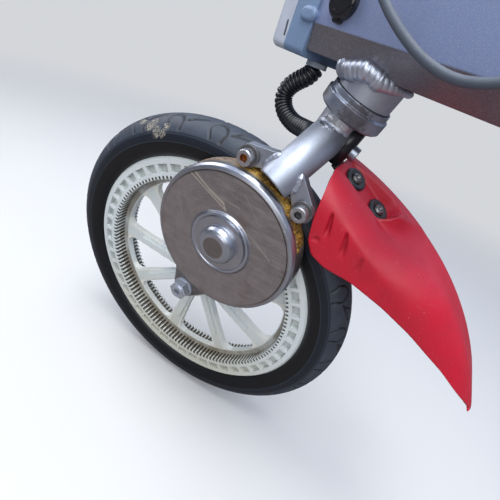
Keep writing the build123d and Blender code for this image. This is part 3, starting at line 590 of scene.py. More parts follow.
def nylon_finish():
    """Off-white moulded nylon, greasy between its two rings of teeth, with painted shade between
    the teeth and in the middle of the rim.
    """
    f = Finish("nylon", 0.02, 1.2, 0.0006, AT_HUB)
    n, place, radius = f.n, f.place, f.radius
    clean = colours().nylon
    tone = n.coat(clean, f.cloud, 0.3, toned(clean, 0.84))
    # the wheel is yellower towards the bottom
    lower_tint = n.step(n.parts(place)["Z"], -10.0, -150.0)
    tone = n.coat(tone, lower_tint, 0.5, paint(204, 194, 162))
    # the band between the rings is stained in patches
    across = n.math("ABSOLUTE", f.left)
    inside = n.times(n.band(radius, 126.0, 138.4, 0.8), n.step(across, 13.2, 12.4))
    patch = n.step(n.noise(place, 0.03, 4.0, 0.6), 0.34, 0.62)
    tone = n.coat(tone, inside, n.between(patch, 0.3, 0.75), paint(112, 96, 74))
    # painted shade between the teeth, at their roots
    teeth_gap_shade = n.times(n.band(radius, 132.9, 136.6, 0.25), n.step(across, 19.85, 19.6))
    tone = n.coat(tone, teeth_gap_shade, 0.85, paint(74, 68, 58))
    # painted shade: the middle of the rim is greyer
    deep = n.times(n.step(across, 16.4, 13.0), n.band(radius, 139.5, 151.0, 0.6))
    tone = n.coat(tone, deep, 0.3, paint(140, 140, 132))
    specks = n.step(n.noise(place, 0.4, 1.0), 0.74, 0.77)
    tone = n.coat(tone, specks, 0.4, paint(110, 98, 78))
    return f.set(Base_Color=tone, Roughness=n.between(f.cloud, 0.4, 0.52),
                 Normal=n.bump(f.height, 0.00003, 0.3, f.normal))


def rubber_finish():
    """Tyre rubber: matt dusty tread, smooth band, black side wall and a mud splat, with painted
    highlights on the band's edges and painted shade in the grooves.
    """
    f = Finish("tyre_rubber", 0.05, 1.3, None, AT_HUB)
    n, place, radius = f.n, f.place, f.radius
    tread = n.step(n.math("ABSOLUTE", f.left), 23.6, 22.4)
    tread = n.times(tread, n.step(radius, 180.0, 184.0))
    band = n.band(radius, 175.0, 184.0, 0.5)
    tone = n.mix(tread, n.mix(band, paint(15, 17, 21), paint(28, 33, 43)), colours().rubber)
    tone = n.coat(tone, f.cloud, n.between(tread, 0.25, 0.4),
                  n.mix(tread, paint(20, 22, 26), paint(36, 40, 48)))
    # painted highlights: thin pale strips along both edges of the smooth band
    edge_highlights = n.most(n.band(radius, 174.8, 175.6, 0.3), n.band(radius, 183.2, 184.0, 0.4))
    tone = n.coat(tone, edge_highlights, 0.6, paint(62, 70, 84))
    # painted shade: the grooves are darkened nearly to black
    groove = n.add("ShaderNodeAttribute", attribute_name="groove")["Fac"]
    tone = n.coat(tone, groove, 0.95, paint(8, 9, 11))
    dust = n.step(n.noise(place, 0.5, 4.0, 0.75), 0.62, 0.74)
    tone = n.coat(tone, dust, n.between(tread, 0.05, 0.22), paint(150, 140, 124))
    # dried mud thrown on the tread, in flakes
    mud = 0.0
    for turn, r, y, wide in MUD_SPOTS:
        spot = (r * cos(radians(turn)), y, r * sin(radians(turn)))
        mud = n.most(mud, n.mask("Spot mark", Place=place, Centre=spot, Size=wide * 1.3,
                                 Ragged=0.6))
    flakes = n.step(n.noise(place, 0.8, 4.0, 0.65, 0.6), 0.48, 0.56)
    mud = n.times(n.times(mud, flakes), 0.85)
    tone = n.mix(mud, tone, n.mix(f.speck, paint(160, 150, 134), paint(214, 205, 190)))
    roughness = n.plus(n.between(tread, 0.42, 0.56), n.times(mud, 0.4))
    height = n.plus(n.times(f.speck, n.between(tread, 0.1, 0.6)), n.times(mud, 4.0))
    return f.set(Base_Color=tone, Roughness=roughness, Normal=n.bump(height, 0.00025, 0.7),
                 Specular_IOR_Level=n.between(tread, 0.36, 0.55))


def guard_finish():
    """Red semi-gloss plastic under a film of dust that also holds a painted pink sheen, with
    painted shade in its dents.
    """
    f = Finish("guard_red", 0.035, 1.1, 0.0009, (GUARD_AT[0], 0.0, GUARD_AT[1]))
    n, red = f.n, colours().guard
    tone = n.coat(red, f.cloud, 0.35, toned(red, 0.7))
    # dust and painted sheen: a pink film, strongest where the surface faces up
    film = n.mask("Dust", Place=n.object_place(), Amount=0.14, Size=500.0)
    tone = n.coat(tone, film, 0.8, paint(214, 130, 148))
    motes = n.step(n.noise(f.place, 0.5, 1.0), 0.75, 0.78)
    tone = n.coat(tone, motes, 0.5, paint(228, 150, 150))
    # painted shade: the dents are tinted a darker red
    dent = n.add("ShaderNodeAttribute", attribute_name="dent")["Fac"]
    tone = n.coat(tone, dent, 0.5, toned(red, 0.4))
    roughness = n.plus(n.between(f.cloud, 0.34, 0.46), n.times(film, 0.5))
    return f.set(Base_Color=tone, Roughness=roughness,
                 Normal=n.bump(f.height, 0.0001, 0.5, f.normal))


def beam_finish():
    """Metallic paint with a painted brown reflection on the lower slope, and saw marks on the cut
    end.
    """
    f = Finish("beam_paint", 22.0, 2400.0, 0.0022)
    n, place = f.n, f.place
    parts = n.parts(place)
    # painted reflection: the lower slope is browner, as it reflects the floor, and the paint's
    # blue tint is in part a painted sky reflection
    low = n.step(parts["Z"], -0.0362, -0.0374)
    tone = n.mix(low, colours().beam, paint(130, 124, 126))
    flake = n.step(n.noise(place, 2600.0, 0.0), 0.56, 0.7)
    tone = n.coat(tone, flake, 0.4, paint(206, 210, 222))
    tone = n.coat(tone, f.cloud, 0.25, paint(96, 104, 128))
    dust = n.mask("Dust", Place=place, Amount=0.25, Size=420.0)
    tone = n.mix(dust, tone, paint(196, 192, 186))
    tone = n.coat(tone, f.wear, 0.35, paint(176, 180, 190))
    # the cut rear end is bare
    cut = n.step(parts["X"], 0.0006, 0.0002)
    saw = n.noise(n.stretched(place, (1.0, 40.0, 900.0)), 1.0, 2.0)
    tone = n.mix(cut, tone, n.mix(saw, paint(150, 152, 156), paint(206, 208, 212)))
    height = n.plus(f.speck, n.times(cut, saw))
    return f.set(Base_Color=tone, Metallic=n.between(low, 0.62, 0.75),
                 Roughness=n.between(f.cloud, 0.34, 0.44), Coat_Weight=0.3, Coat_Roughness=0.2,
                 Normal=n.bump(height, 0.00004, 0.5, f.normal))


def plastic(name, base, rough, dust, fine=1400.0, coat=0.0, worn=True, slot=None):
    """Moulded plastic or rubber with a fine grain and dust, and a dark slot where it has one."""
    f = Finish(name, 60.0, fine, 0.0012 if worn else None)
    n, base = f.n, tuple(base)
    tone = n.coat(base, f.cloud, 0.3, toned(base, 0.7))
    film = n.mask("Dust", Place=f.place, Amount=dust, Size=700.0)
    tone = n.mix(film, tone, paint(188, 184, 176))
    if worn:
        tone = n.coat(tone, f.wear, 0.2, tuple(min(1.0, c * 1.6 + 0.01) for c in base))
    if slot:
        cut = n.mask("Line mark", Place=n.in_mm(f.place), From=slot[0], To=slot[1], Width=1.6,
                     Ragged=0.0)
        tone = n.mix(cut, tone, paint(38, 42, 52))
    roughness = n.plus(n.between(f.cloud, rough, rough + 0.1), n.times(film, 0.3))
    return f.set(Base_Color=tone, Roughness=roughness, Coat_Weight=coat, Coat_Roughness=0.15,
                 Normal=n.bump(f.height, 0.00007, 0.6, f.normal))


# Pieces
def tyre_profile():
    """The tyre's outside as radius and left, from the left bead to the right one."""
    wall = arc(BEAD, WIDEST, SHOULDER, 400)
    crown = arc(SHOULDER, CROWN, (SHOULDER[0], -SHOULDER[1]), 400)
    spaced = []
    for line, count, ease in ((wall, 21, 0.75), (crown, 38, 1.0)):
        length = line_length(line)
        spaced.append(on_line(length[-1] * np.linspace(0, 1, count) ** ease, length, line))
    left, top = spaced
    right = left[::-1] * (1, -1)
    return np.vstack((left, top[1:], right[1:]))


def tread_groove(turn, left, radius):
    """Depth share, 0 to 1, of the tread's grooves at an angle in degrees."""
    pitch, per_degree = 360 / sizes().tread_repeats, 3.44      # mm round the tread
    wide = sizes().sipe_wide * 500
    depth = np.zeros_like(turn)
    for hand in (1, -1):
        phase = 72.0 if hand > 0 else 72.0 + pitch / 2
        x = ((turn - phase + pitch / 2) % pitch - pitch / 2) * per_degree
        y = hand * left
        # arch: a round top over two legs that run down to the shoulder
        arch_top = np.abs(np.hypot(x - 0.8, (y - 16.0) * 0.95) - 9.6 - 0.12 * x)
        arch_legs = np.abs(np.abs(x - 0.8 - 0.3 * (y - 16)) - 9.6 + 0.55 * (y - 16.0) - 0.12 * x)
        arch = np.where(y > 22.3, 9.0, np.where(y < 16.0, arch_top, arch_legs))
        # a long and a short dash lead from the arch towards the middle
        for (x1, y1), (x2, y2) in (((16.5, 13.0), (39.0, 5.9)), ((20.6, 9.6), (25.0, 4.6))):
            for shift in (0, -pitch * per_degree):
                ax, ay = x - x1 - shift, y - y1
                bx, by = x2 - x1, y2 - y1
                share = np.clip((ax * bx + ay * by) / (bx * bx + by * by), 0, 1)
                away = np.hypot(ax - share * bx, ay - share * by)
                depth = np.maximum(depth, 1 - smooth(away, 0.35 * wide, wide))
        depth = np.maximum(depth, 1 - smooth(arch, 0.35 * wide, wide))
    return depth * smooth(radius, 184.0, 187.0)


def make_tyre():
    """The tyre with its grooves, as one closed skin."""
    profile, steps = tyre_profile(), 1060
    radius, left = (np.repeat(column[:, None], steps, 1) for column in profile.T)
    angle = np.repeat(np.linspace(0, 360, steps, endpoint=False)[None], len(profile), 0)
    depth = tread_groove(angle, left, radius)
    inward = np.gradient(profile, axis=0)
    inward = unit(np.stack((inward[:, 1], -inward[:, 0]), 1))
    if inward[len(profile) // 2, 0] > 0:
        inward = -inward
    away = depth * sizes().sipe_deep * 1000
    # the smooth band below the shoulder stands a little proud, and the mould left a seam
    away -= 0.35 * (smooth(radius, 175.2, 175.8) - smooth(radius, 183.4, 184.6)) * (
        np.abs(left) > 20)
    away -= 0.22 * np.exp(-(left / 0.7) ** 2)
    away -= 0.3 * np.exp(-((radius - 163.5) / 0.9) ** 2)
    radius = radius + away * inward[:, 0][:, None]
    left = left + away * inward[:, 1][:, None]
    # two more rows close the tyre on the wheel's side
    inner = np.array((BEAD, BEAD)) * ((1, -0.5), (1, 0.5))
    radius = np.vstack((radius, np.repeat(inner[:, :1], steps, 1)))
    left = np.vstack((left, np.repeat(inner[:, 1:], steps, 1)))
    turn = np.radians(np.vstack((angle, angle[:2])))
    depth = np.vstack((depth, np.zeros((2, steps))))
    points = np.stack((radius * np.cos(turn), left, radius * np.sin(turn)), -1)
    tyre = mesh_piece("tyre_rubber", by_wheel(points.reshape(-1, 3)),
                      grid_faces(len(radius), steps, True, True), rubber_finish(), "wheel")
    mark(tyre, "groove", depth)
    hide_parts("tyre")


def route_curve(name, route):
    """A smooth NURBS line with the route's points, given in millimetres."""
    curve = bpy.data.curves.new(name, "CURVE")
    curve.dimensions = "3D"
    curve.resolution_u = 24
    spline = curve.splines.new("NURBS")
    spline.points.add(len(route) - 1)
    for point, place in zip(spline.points, route):
        point.co = (*(c / 1000 for c in place), 1)
    spline.order_u = 3
    spline.use_endpoint_u = True
    return curve


def line_points(curve):
    """Points along a curve that has no bevel."""
    holder = bpy.data.objects.new("line", curve)
    bpy.context.scene.collection.objects.link(holder)
    bpy.context.view_layer.update()
    mesh = bpy.data.meshes.new_from_object(holder)
    points = np.array([v.co for v in mesh.vertices])
    bpy.data.objects.remove(holder)
    bpy.data.meshes.remove(mesh)
    return points


def along_line(points, spacing):
    """Distances along a line, the points there and two square directions at each."""
    length = line_length(points)
    want = np.linspace(0, length[-1], int(round(length[-1] / spacing)) + 1)
    line = on_line(want, length, points)
    ahead = unit(np.gradient(line, axis=0))
    across = [unit(np.cross(ahead[0], (0.3, 0.9, 0.1)))]
    for way in ahead[1:]:
        across.append(unit(across[-1] - way * (across[-1] @ way)))
    across = np.array(across)
    return want, line, across, np.cross(ahead, across)


def make_conduit():
    """The corrugated conduit from the nose to the stub."""
    pitch, sides = sizes().ring_pitch, 36
    curve = route_curve("conduit_line", CONDUIT_ROUTE)
    want, line, across, up = along_line(line_points(curve), pitch / 10)
    ring = np.sqrt(np.clip(1 - (((want / pitch) % 1.0 - 0.5) / 0.44) ** 2, 0, 1))
    radius = CONDUIT_R - sizes().ring_deep * (1 - ring)
    radius[0] = radius[-1] = CLOSED_R
    ways = round_ways(full_turn(sides), across[:, None], up[:, None])
    points = (line[:, None] + radius[:, None, None] * ways).reshape(-1, 3)
    black = plastic("conduit_black", paint(22, 25, 32), 0.26, 0.0, 900.0, 0.3, False)
    conduit = mesh_piece("corrugated_conduit", points, grid_faces(len(line), sides, False, True),
                         black, None)
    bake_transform(conduit)
    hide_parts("conduit")


def make_cable():
    """The grey cable along the beam's side."""
    curve = route_curve("control_cable", CABLE_ROUTE)
    curve.bevel_depth = CABLE_R
    curve.bevel_resolution = 8
    curve.use_fill_caps = True
    cable = bpy.data.objects.new("grey_cable", curve)
    bpy.context.scene.collection.objects.link(cable)
    curve.materials.append(plastic("cable_sheath", paint(78, 86, 98), 0.5, 0.08, 1500.0))
    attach(cable, "frame_head")
    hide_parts("control_cable")


def bead(name, path, outward, radius, material, body, coarse, spread, closed=False, swell=()):
    """A weld bead along a path in metres: ripples like a row of coins, half sunk."""
    if closed:
        path, outward = (np.vstack((rows, rows[:1])) for rows in (path, outward))
    pitch, sides = sizes().bead_ripple * coarse, 28
    length = line_length(path)
    far = length[-1]
    want = np.linspace(0, far, int(far / pitch * 8) + 2, endpoint=not closed)
    line, out = on_line(want, length, path), on_line(want, length, outward)
    ahead = unit(np.roll(line, -1, 0) - np.roll(line, 1, 0) if closed
                 else np.gradient(line, axis=0))
    out = unit(out - ahead * np.sum(out * ahead, axis=1)[:, None])
    side = np.cross(ahead, out)
    turn = full_turn(sides)
    random = np.random.default_rng(len(name))
    knots = int(far / pitch) + 2
    uneven = np.interp(want, np.linspace(0, far, knots), random.uniform(0.9, 1.08, knots))
    phase = (want[:, None] / pitch + 0.42 * (1 - np.cos(turn[None, :]))) % 1.0
    coin = np.sqrt(np.clip(1 - (2 * phase - 1) ** 2, 0, 1))
    scale = radius * uneven[:, None] * (0.88 + 0.13 * coin)
    for place, wide, more in swell:
        near = np.exp(-((want / far - place) / wide) ** 2)[:, None]
        scale = scale * (1 + more * near)
    if not closed:
        end = np.minimum(want, far - want)[:, None]
        scale = scale * np.sqrt(np.clip(end / (1.2 * radius), 0.02, 1))
    ways = round_ways(turn, out[:, None], spread * side[:, None])
    points = (line[:, None] + scale[:, :, None] * ways).reshape(-1, 3)
    mesh_piece(name, points, grid_faces(len(want), sides, closed, True), material,
               body)


def head_bead_path(top):
    """Where the head tube leaves the beam's underside, or its top."""
    up = np.array(STEER_AXIS)
    forward = np.array((up[2], 0, -up[0]))
    ring = round_ways(full_turn(240) + pi * 0.35, forward, np.array((0, 1, 0)))
    start = np.array(CUP_BOTTOM) + HEAD_R * ring
    height = np.zeros(len(ring))
    for _ in range(12):
        spot = start + height[:, None] * up
        if top:
            level = np.full(len(ring), BEAM_HALF)
        else:
            keel = 0.016 + np.clip(spot[:, 0] - 0.085, 0, 1) * 0.018 / 0.082
            level = -BEAM_HALF + np.clip(np.abs(spot[:, 1]) - keel, 0, 1) * 0.018 / (0.036 - keel)
        height = (level - start[:, 2]) / up[2]
    return start + height[:, None] * up, unit(ring + np.array((0, 0, 1 if top else -1)))


def stub_frame():
    """Up along the steering axis, forward and left square to it, and the stub's middle."""
    turned, up = np.array(TURN), np.array(STEER_AXIS)
    forward = turned @ np.array((up[2], 0, -up[0]))
    left = turned @ np.array((0.0, 1.0, 0.0))
    return up, forward, left, np.array(CUP_BOTTOM) + STUB_AT[0] * forward + STUB_AT[1] * left


def leg_frame():
    """The leg's start and end, its direction and two directions square to it, in metres."""
    up, forward, left, _ = stub_frame()
    cup = np.array(CUP_BOTTOM)
    start = cup - 0.008 * up
    end = cup + 0.0104 * forward + 0.047 * left - 0.0725 * up
    way = unit(end - start)
    across = unit(forward - way * (forward @ way))
    return start, end, way, across, np.cross(way, across)


def turned_piece(name, profile, place, material, body, round_rows=None):
    """A turned piece from (radius, height) rows in millimetres, six-sided after its round rows."""
    turn = full_turn(72)
    hexagon = cos(pi / 6) / np.cos((turn % (pi / 3)) - pi / 6)
    rows = []
    for number, (radius, height) in enumerate(profile):
        six_sided = round_rows is not None and number >= round_rows
        r = radius * (hexagon if six_sided else np.ones(len(turn)))
        rows.append(np.stack((r * np.cos(turn), r * np.sin(turn), np.full(len(turn), height)), 1))
    points = np.vstack(rows) / 1000 @ np.array(place.to_3x3()).T + np.array(place.translation)
    return mesh_piece(name, points, grid_faces(len(rows), len(turn), False, True), material,
                      body)


def make_leg():
    """The stub under the cup and the open leg tube, in place of the plain ones."""
    start, _, way, across, other = leg_frame()
    up, forward, left, middle = stub_frame()
    melted = []
    for low, turn, wide in ((15.0, -62, 6.5), (11.5, -84, 8.0), (8.0, -104, 7.0)):
        out = round_ways(np.array(radians(turn)), across, other)
        melted.append((tuple(1000 * (start + low / 1000 * way + LEG_R * out)), wide))
    metal = satin_aluminium("leg_aluminium", 1.22, 0.46, melted)

    def place(origin, z_way):
        x_way = unit(across - z_way * (across @ z_way))
        axes = Matrix(np.stack((x_way, np.cross(z_way, x_way), z_way), 1).tolist()).to_4x4()
        return Matrix.Translation(origin) @ axes

    r, wall, far = LEG_R * 1000, 2.6, LEG_LONG * 1000
    tube = turned_piece(
        "leg_tube",
        [(0.01, 0), (r, 0), (r, far - 1.4), (r, far - 0.9), (r - 0.3, far - 0.3),
         (r - 0.8, far), (r - wall + 0.4, far), (r - wall, far - 0.4), (r - wall, far - 1),
         (r - wall, far - 40), (0.01, far - 40)],
        place(start, way), metal, "fork")
    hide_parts("fork_leg")
    r, far = STUB_R * 1000, 33.5
    turned_piece(
        "leg_stub",
        [(0.01, 0.2), (r - 0.4, 0.2), (r, 0.7), (r, 1.5), (r, far - 4), (r - 0.3, far - 2.6),
         (r - 1.4, far - 1), (r - 3, far - 0.2), (r - 4.5, far), (0.01, far)],
        place(middle, -up), metal, "fork")
    # the guard's bracket starts as a block on the stub's back
    shape = bmesh.new()
    bmesh.ops.create_cube(shape, size=1.0)
    bmesh.ops.bevel(shape, geom=list(shape.edges), offset=0.09, segments=2, affect="EDGES")
    corners, faces = corners_and_faces(shape)
    corners = corners * (0.0120, 0.029, 0.036) + (-0.0145, 0, -0.0195)
    mesh_piece("bracket_block", np.array(CUP_BOTTOM) + corners @ np.stack((forward, left, up)),
               faces, plastic("bracket_black", paint(24, 24, 28), 0.3, 0.08, 1200.0),
               "fork")


def make_head_seam():
    """A dark ring of painted shade where the head tube stands on the lower cup."""
    turned = STEER_AXIS.to_track_quat("Z", "X").to_matrix().to_4x4()
    place = Matrix.Translation(CUP_BOTTOM) @ turned
    # painted shade: a dark ring fills the gap between the cup and the tube
    dirt_and_shade = plastic("seam_painted_shade", paint(34, 34, 38), 0.6, 0.0, 1500.0, 0.0, False)
    turned_piece("head_seam", [(24.4, 15.7), (25.3, 15.7), (25.4, 16.1), (25.1, 16.6),
                               (24.4, 16.7)], place, dirt_and_shade, "frame_head")


def make_spoke_roots():
    """The wide roots where the spokes run into the wheel's inner ring."""
    ring, half, flare, thick = 125.0, 7.5, 12.0, 3.96
    centre = np.array((np.sqrt((ring - flare) ** 2 - (half + flare) ** 2), half + flare))
    touch = centre * ring / (ring - flare)
    first = np.arctan2(*(touch - centre)[::-1])
    turn = np.linspace(first, -pi / 2, 13)
    curve = centre + flare * np.stack((np.cos(turn), np.sin(turn)), 1)
    curve[:, 1] += 2.0 * np.clip((curve[:, 0] - 60) / 45, 0, 1)
    outline = np.vstack((curve, (66.0, half), (66.0, half - 1), (ring + 0.6, half - 1),
                         touch * 1.006))
    count = len(outline)
    points, faces = [], []
    for third in range(3):
        for angle in (1.6, -35.4, -78.4):
            t = radians(angle - 120 * third)
            for hand in (1, -1):
                x = outline[:, 0] * cos(t) - hand * outline[:, 1] * sin(t)
                z = outline[:, 0] * sin(t) + hand * outline[:, 1] * cos(t)
                base = len(points)
                points += [(a, y, b) for y in (thick, -thick) for a, b in zip(x, z)]
                ends = [list(range(base, base + count)),
                        list(range(base + count, base + 2 * count))[::-1]]
                sides = [[base + k, base + count + k, base + count + (k + 1) % count,
                          base + (k + 1) % count] for k in range(count)]
                faces += [face[::hand] for face in ends + sides]
    roots = mesh_piece("spoke_roots", by_wheel(points), faces,
                       bpy.data.materials["nylon"], "wheel")
    roots.data.polygons.foreach_set("use_smooth", [False] * len(roots.data.polygons))


def kept_run(keep):
    """The numbers of a closed ring's points to keep, in order from the gap on."""
    order = np.roll(np.arange(len(keep)), -int(np.argmax(~keep)))
    return order[keep[order]]


def make_welds():
    """The beads round the head tube, between the leg and its stub, and along the lugs."""
    metal = satin_aluminium("weld_metal", 1.3, 0.4)
    for number, top in enumerate((False, True), 1):
        path, out = head_bead_path(top)
        bead(f"head_weld_{number}", path + 0.0030 * out, out, 0.0052, metal, "frame_head",
             0.78, 1.15, closed=True,
             swell=((0.1, 0.14, 0.32), (0.98, 0.05, 0.3), (0.38, 0.14, -0.6)))
    start, end, way, across, other = leg_frame()
    up, _, left, middle = stub_frame()
    round_leg = round_ways(full_turn(120), across, other)
    base = start + LEG_R * round_leg
    # the leg's surface leaves the stub's surface
    flat = base - middle
    flat = flat - (flat @ up)[:, None] * up
    step = way - (way @ up) * up
    a, b = step @ step, 2 * flat @ step
    c = np.sum(flat * flat, axis=1) - STUB_R ** 2
    reach = (-b + np.sqrt(np.maximum(b * b - 4 * a * c, 0))) / 2 / a
    path = base + reach[:, None] * way
    away = path - middle
    out = round_leg + unit(away - (away @ up)[:, None] * up)
    order = kept_run((path - np.array(CUP_BOTTOM)) @ up > -0.036)
    bead("leg_weld", (path - 0.0016 * out)[order], out[order], 0.0036, metal, "fork", 1.4, 1.9)
    # the lugs are welded along the leg
    hub, turned = np.array(HUB), np.array(TURN)
    reach = (LUG_WELD_LEFT - (base - hub) @ left) / (way @ left)
    path = base + reach[:, None] * way
    local = (path - hub) @ turned * 1000
    foot = (end - 0.024 * way - hub) @ turned * 1000
    for number, (lug, own) in enumerate(zip(LUG_PLACES, (1, -1)), 1):
        begin = np.array((foot[0] + own * 9.0, foot[2] + own * 3.0))
        way_out = np.array(lug) - begin
        offset = local[:, (0, 2)] - begin
        share = np.clip(offset @ way_out / (way_out @ way_out), 0, 1)
        near = np.linalg.norm(offset - share[:, None] * way_out, axis=1)
        keep = (near < 9.5) & (offset @ way_out > -60)
        if not keep.any():
            raise RuntimeError(f"no weld path found for lug {number}")
        order = kept_run(keep)
        bead(f"lug_weld_{number}", path[order], (round_leg + left)[order], 0.003, metal, "fork",
             0.84, 1.2)


def guard_profile(hand):
    """Half of the guard's arch, rounder on the left, as radius and left."""
    if hand > 0:
        crown = np.linspace((GUARD_R, 0), (GUARD_R, 11.5), 60)
        round_part = (292, 11.5) + (38, 28.5) * round_ways(
            np.linspace(0, pi / 2, 160), np.array((1, 0)), np.array((0, 1)))
    else:
        crown = np.linspace((GUARD_R, 0), (GUARD_R, 20), 60)
        round_part = arc((GUARD_R, 20), (323.5, 34), (308, 39), 160)
    wall = np.linspace(round_part[-1], (252, 42), 120)
    return np.vstack((crown, round_part[1:], wall[1:]))


def guard_edge():
    """The guard's lower edge, as angle and radius from the centre of its arc."""
    edge = np.array(GUARD_EDGE)
    share = np.linspace(0, 1, 24, endpoint=False)
    dense = np.vstack([a + share[:, None] * (b - a) for a, b in zip(edge, edge[1:])]
                      + [edge[-1:]])
    kernel = np.hanning(17) / np.hanning(17).sum()
    soft = [np.convolve(np.pad(column, 8, "edge"), kernel, "valid") for column in dense.T]
    rel = np.stack(soft, 1) - GUARD_AT
    angle, radius = np.degrees(np.arctan2(rel[:, 1], rel[:, 0])), np.hypot(*rel.T)
    order = np.argsort(angle)
    return angle[order], radius[order]


def guard_grid():
    """The smooth guard: angle, distance from its middle, radius, left, and which side is left."""
    edge_t, edge_r = guard_edge()
    inside = edge_t[edge_r < GUARD_R]
    rows = np.concatenate((np.linspace(inside.min() + 0.02, 112.5, 76, endpoint=False),
                           np.linspace(112.5, inside.max() - 0.05, 130)))
    low = np.minimum(np.interp(rows, edge_t, edge_r), GUARD_R - 0.01)
    flat = np.concatenate((np.linspace(0, 7.5, 7, endpoint=False),
                           np.linspace(7.5, 14.0, 17, endpoint=False), np.linspace(14.0, 20.0, 6)))
    outer = np.linspace(0, 1, 52)[1:]
    halves = []
    for side in (1, -1):
        line = guard_profile(side)
        length = line_length(line)
        last = np.maximum(np.interp(-low, -line[:, 0], length), 20.0)
        half = np.concatenate((np.repeat(flat[None], len(rows), 0),
                               20.0 + outer[None] * (last[:, None] - 20.0)), 1)
        halves.append((half, np.interp(half, length, line[:, 0]),
                       side * np.interp(half, length, line[:, 1])))
    along, r, y = (np.concatenate((one[:, :0:-1], other), 1) for one, other in zip(*halves))
    is_left = np.arange(along.shape[1]) < half.shape[1] - 1
    return np.repeat(rows[:, None], along.shape[1], 1), along, r, y, is_left


def guard_dents(turn, along):
    """Depth share of the streaks pressed into the guard's left side."""
    depth, per_degree = np.zeros_like(turn), 5.2       # mm round the guard's side
    x = turn * per_degree
    for (t1, s1), (t2, s2), wide, strength in (
            ((107.9, 50.5), (110.3, 76.0), 4.2, 0.9), ((111.7, 53.5), (114.8, 78.0), 4.4, 0.9),
            ((116.6, 58.5), (118.6, 76.0), 3.4, 0.5), ((108.9, 78.0), (109.4, 84.0), 8.0, 0.35)):
        a, b = np.array((t1 * per_degree, s1)), np.array((t2 * per_degree, s2))
        way = b - a
        share = ((x - a[0]) * way[0] + (along - a[1]) * way[1]) / (way @ way)
        away = np.abs((x - a[0]) * way[1] - (along - a[1]) * way[0]) / np.hypot(*way)
        taper = wide * (0.3 + 0.7 * np.clip(share, 0, 1))
        body = smooth(share, 0.0, 0.16) * (1 - smooth(share, 0.55, 1.0))
        depth = np.maximum(depth, strength * body * (1 - smooth(away, 0.35 * taper, taper)))
    return depth


def guard_sunk(forward, y, up):
    """How far the guard sinks, square to its bolt seat, into the channel and beside it."""
    slope = radians(FLOOR_SLOPE)
    rel_f, rel_u = forward - FLOOR_AT[0], up - FLOOR_AT[1]
    along_floor = rel_f * cos(slope) + rel_u * sin(slope)
    height = -rel_f * sin(slope) + rel_u * cos(slope)
    # the channel for the bolts is pressed down to its flat floor
    spine = np.clip(along_floor, CHANNEL_FROM, CHANNEL_TO)
    away = np.hypot(along_floor - spine, y) - CHANNEL_HALF
    floor = -0.21 * np.clip(y, -11, 11)
    sunk = np.maximum(height - floor, 0) * (1 - smooth(away, -0.9, 1.6))
    # the left shoulder falls away from a low crest, softer towards the back
    beside = np.maximum(y - 11.5, 0)
    crest = 1.0 - 0.02 * beside - 0.0185 * beside ** 2
    behind = smooth(-along_floor, 38.0, 85.0)
    over = height - sunk - crest
    over = 0.5 * (over + np.sqrt(over * over + 16.0))
    share = np.clip((y - 8.0 + 40.0 * behind) / (5.0 + 45.0 * behind), 0, 1)
    return sunk + over * share * share * (3 - 2 * share) * smooth(along_floor, -135.0, -44.0)


def make_guard():
    """The red shell of the mudguard."""
    turn, along, r, y, is_left = guard_grid()
    dent = guard_dents(turn, along) * is_left[None]
    deep = sizes().dent_deep * 1000 * dent
    r, y, t = r - 0.05 * deep, y - deep, np.radians(turn)
    forward = GUARD_AT[0] + r * np.cos(t)
    up = GUARD_AT[1] + r * np.sin(t)
    sunk, slope = guard_sunk(forward, y, up), radians(FLOOR_SLOPE)
    points = np.stack((forward + sunk * sin(slope), y, up - sunk * cos(slope)), -1)
    guard = mesh_piece("guard_shell", by_wheel(points.reshape(-1, 3)), grid_faces(*turn.shape),
                       guard_finish(), "fork")
    mark(guard, "dent", dent)
    centre = by_wheel([(GUARD_AT[0], 0, GUARD_AT[1])])[0]
    middle = guard.data.polygons[len(guard.data.polygons) // 2]
    if (Vector(middle.center) - Vector(centre)).dot(middle.normal) < 0:
        guard.data.flip_normals()
    wall = guard.modifiers.new("Wall", "SOLIDIFY")
    wall.thickness = sizes().guard_wall
    wall.offset = -1.0
    wall.use_rim = True
    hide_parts("mudguard")


def make_guard_fasteners():
    """The two bolts of the mudguard on their dished washers."""
    steel = worn_steel("button_steel", (150, 148, 146), 0.3, (60, 50, 42), 0.4)
    rubber = plastic("washer_rubber", paint(30, 33, 40), 0.36, 0.08, 1500.0)
    tilt = Matrix.Rotation(radians(-FLOOR_SLOPE), 4, "Y")
    turned = TURN.to_4x4() @ tilt @ Matrix.Rotation(radians(-12), 4, "X")
    for number, along in enumerate((0.0, -34.0), 1):
        local = tilt @ Vector((along, 0, 0))
        spot = by_wheel([(FLOOR_AT[0] + local.x, 0, FLOOR_AT[1] + local.z)])[0]
        place = Matrix.Translation(spot) @ turned
        washer = turned_piece(
            f"dished_washer_{number}",
            [(2.6, 0.0), (9.8, 0.0), (10.9, 0.4), (11.2, 1.2), (10.8, 2.2), (9.8, 2.9),
             (8.4, 3.0), (7.0, 2.6), (6.0, 1.9), (2.6, 1.6), (2.6, 0.0)],
            place, rubber, "fork")
        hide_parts(f"guard_washer_{number}")
        button = turned_piece(
            f"button_bolt_{number}",
            [(2.5, -2.5), (2.5, 1.6), (5.0, 1.7), (5.3, 2.1), (5.2, 2.7), (4.6, 3.7),
             (3.8, 4.4), (3.0, 4.8), (2.5, 4.8), (2.4, 4.6), (2.4, 3.1), (1.2, 2.7), (0.01, 2.6)],
            place, steel, "fork", round_rows=8)
        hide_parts(f"guard_bolt_{number}")


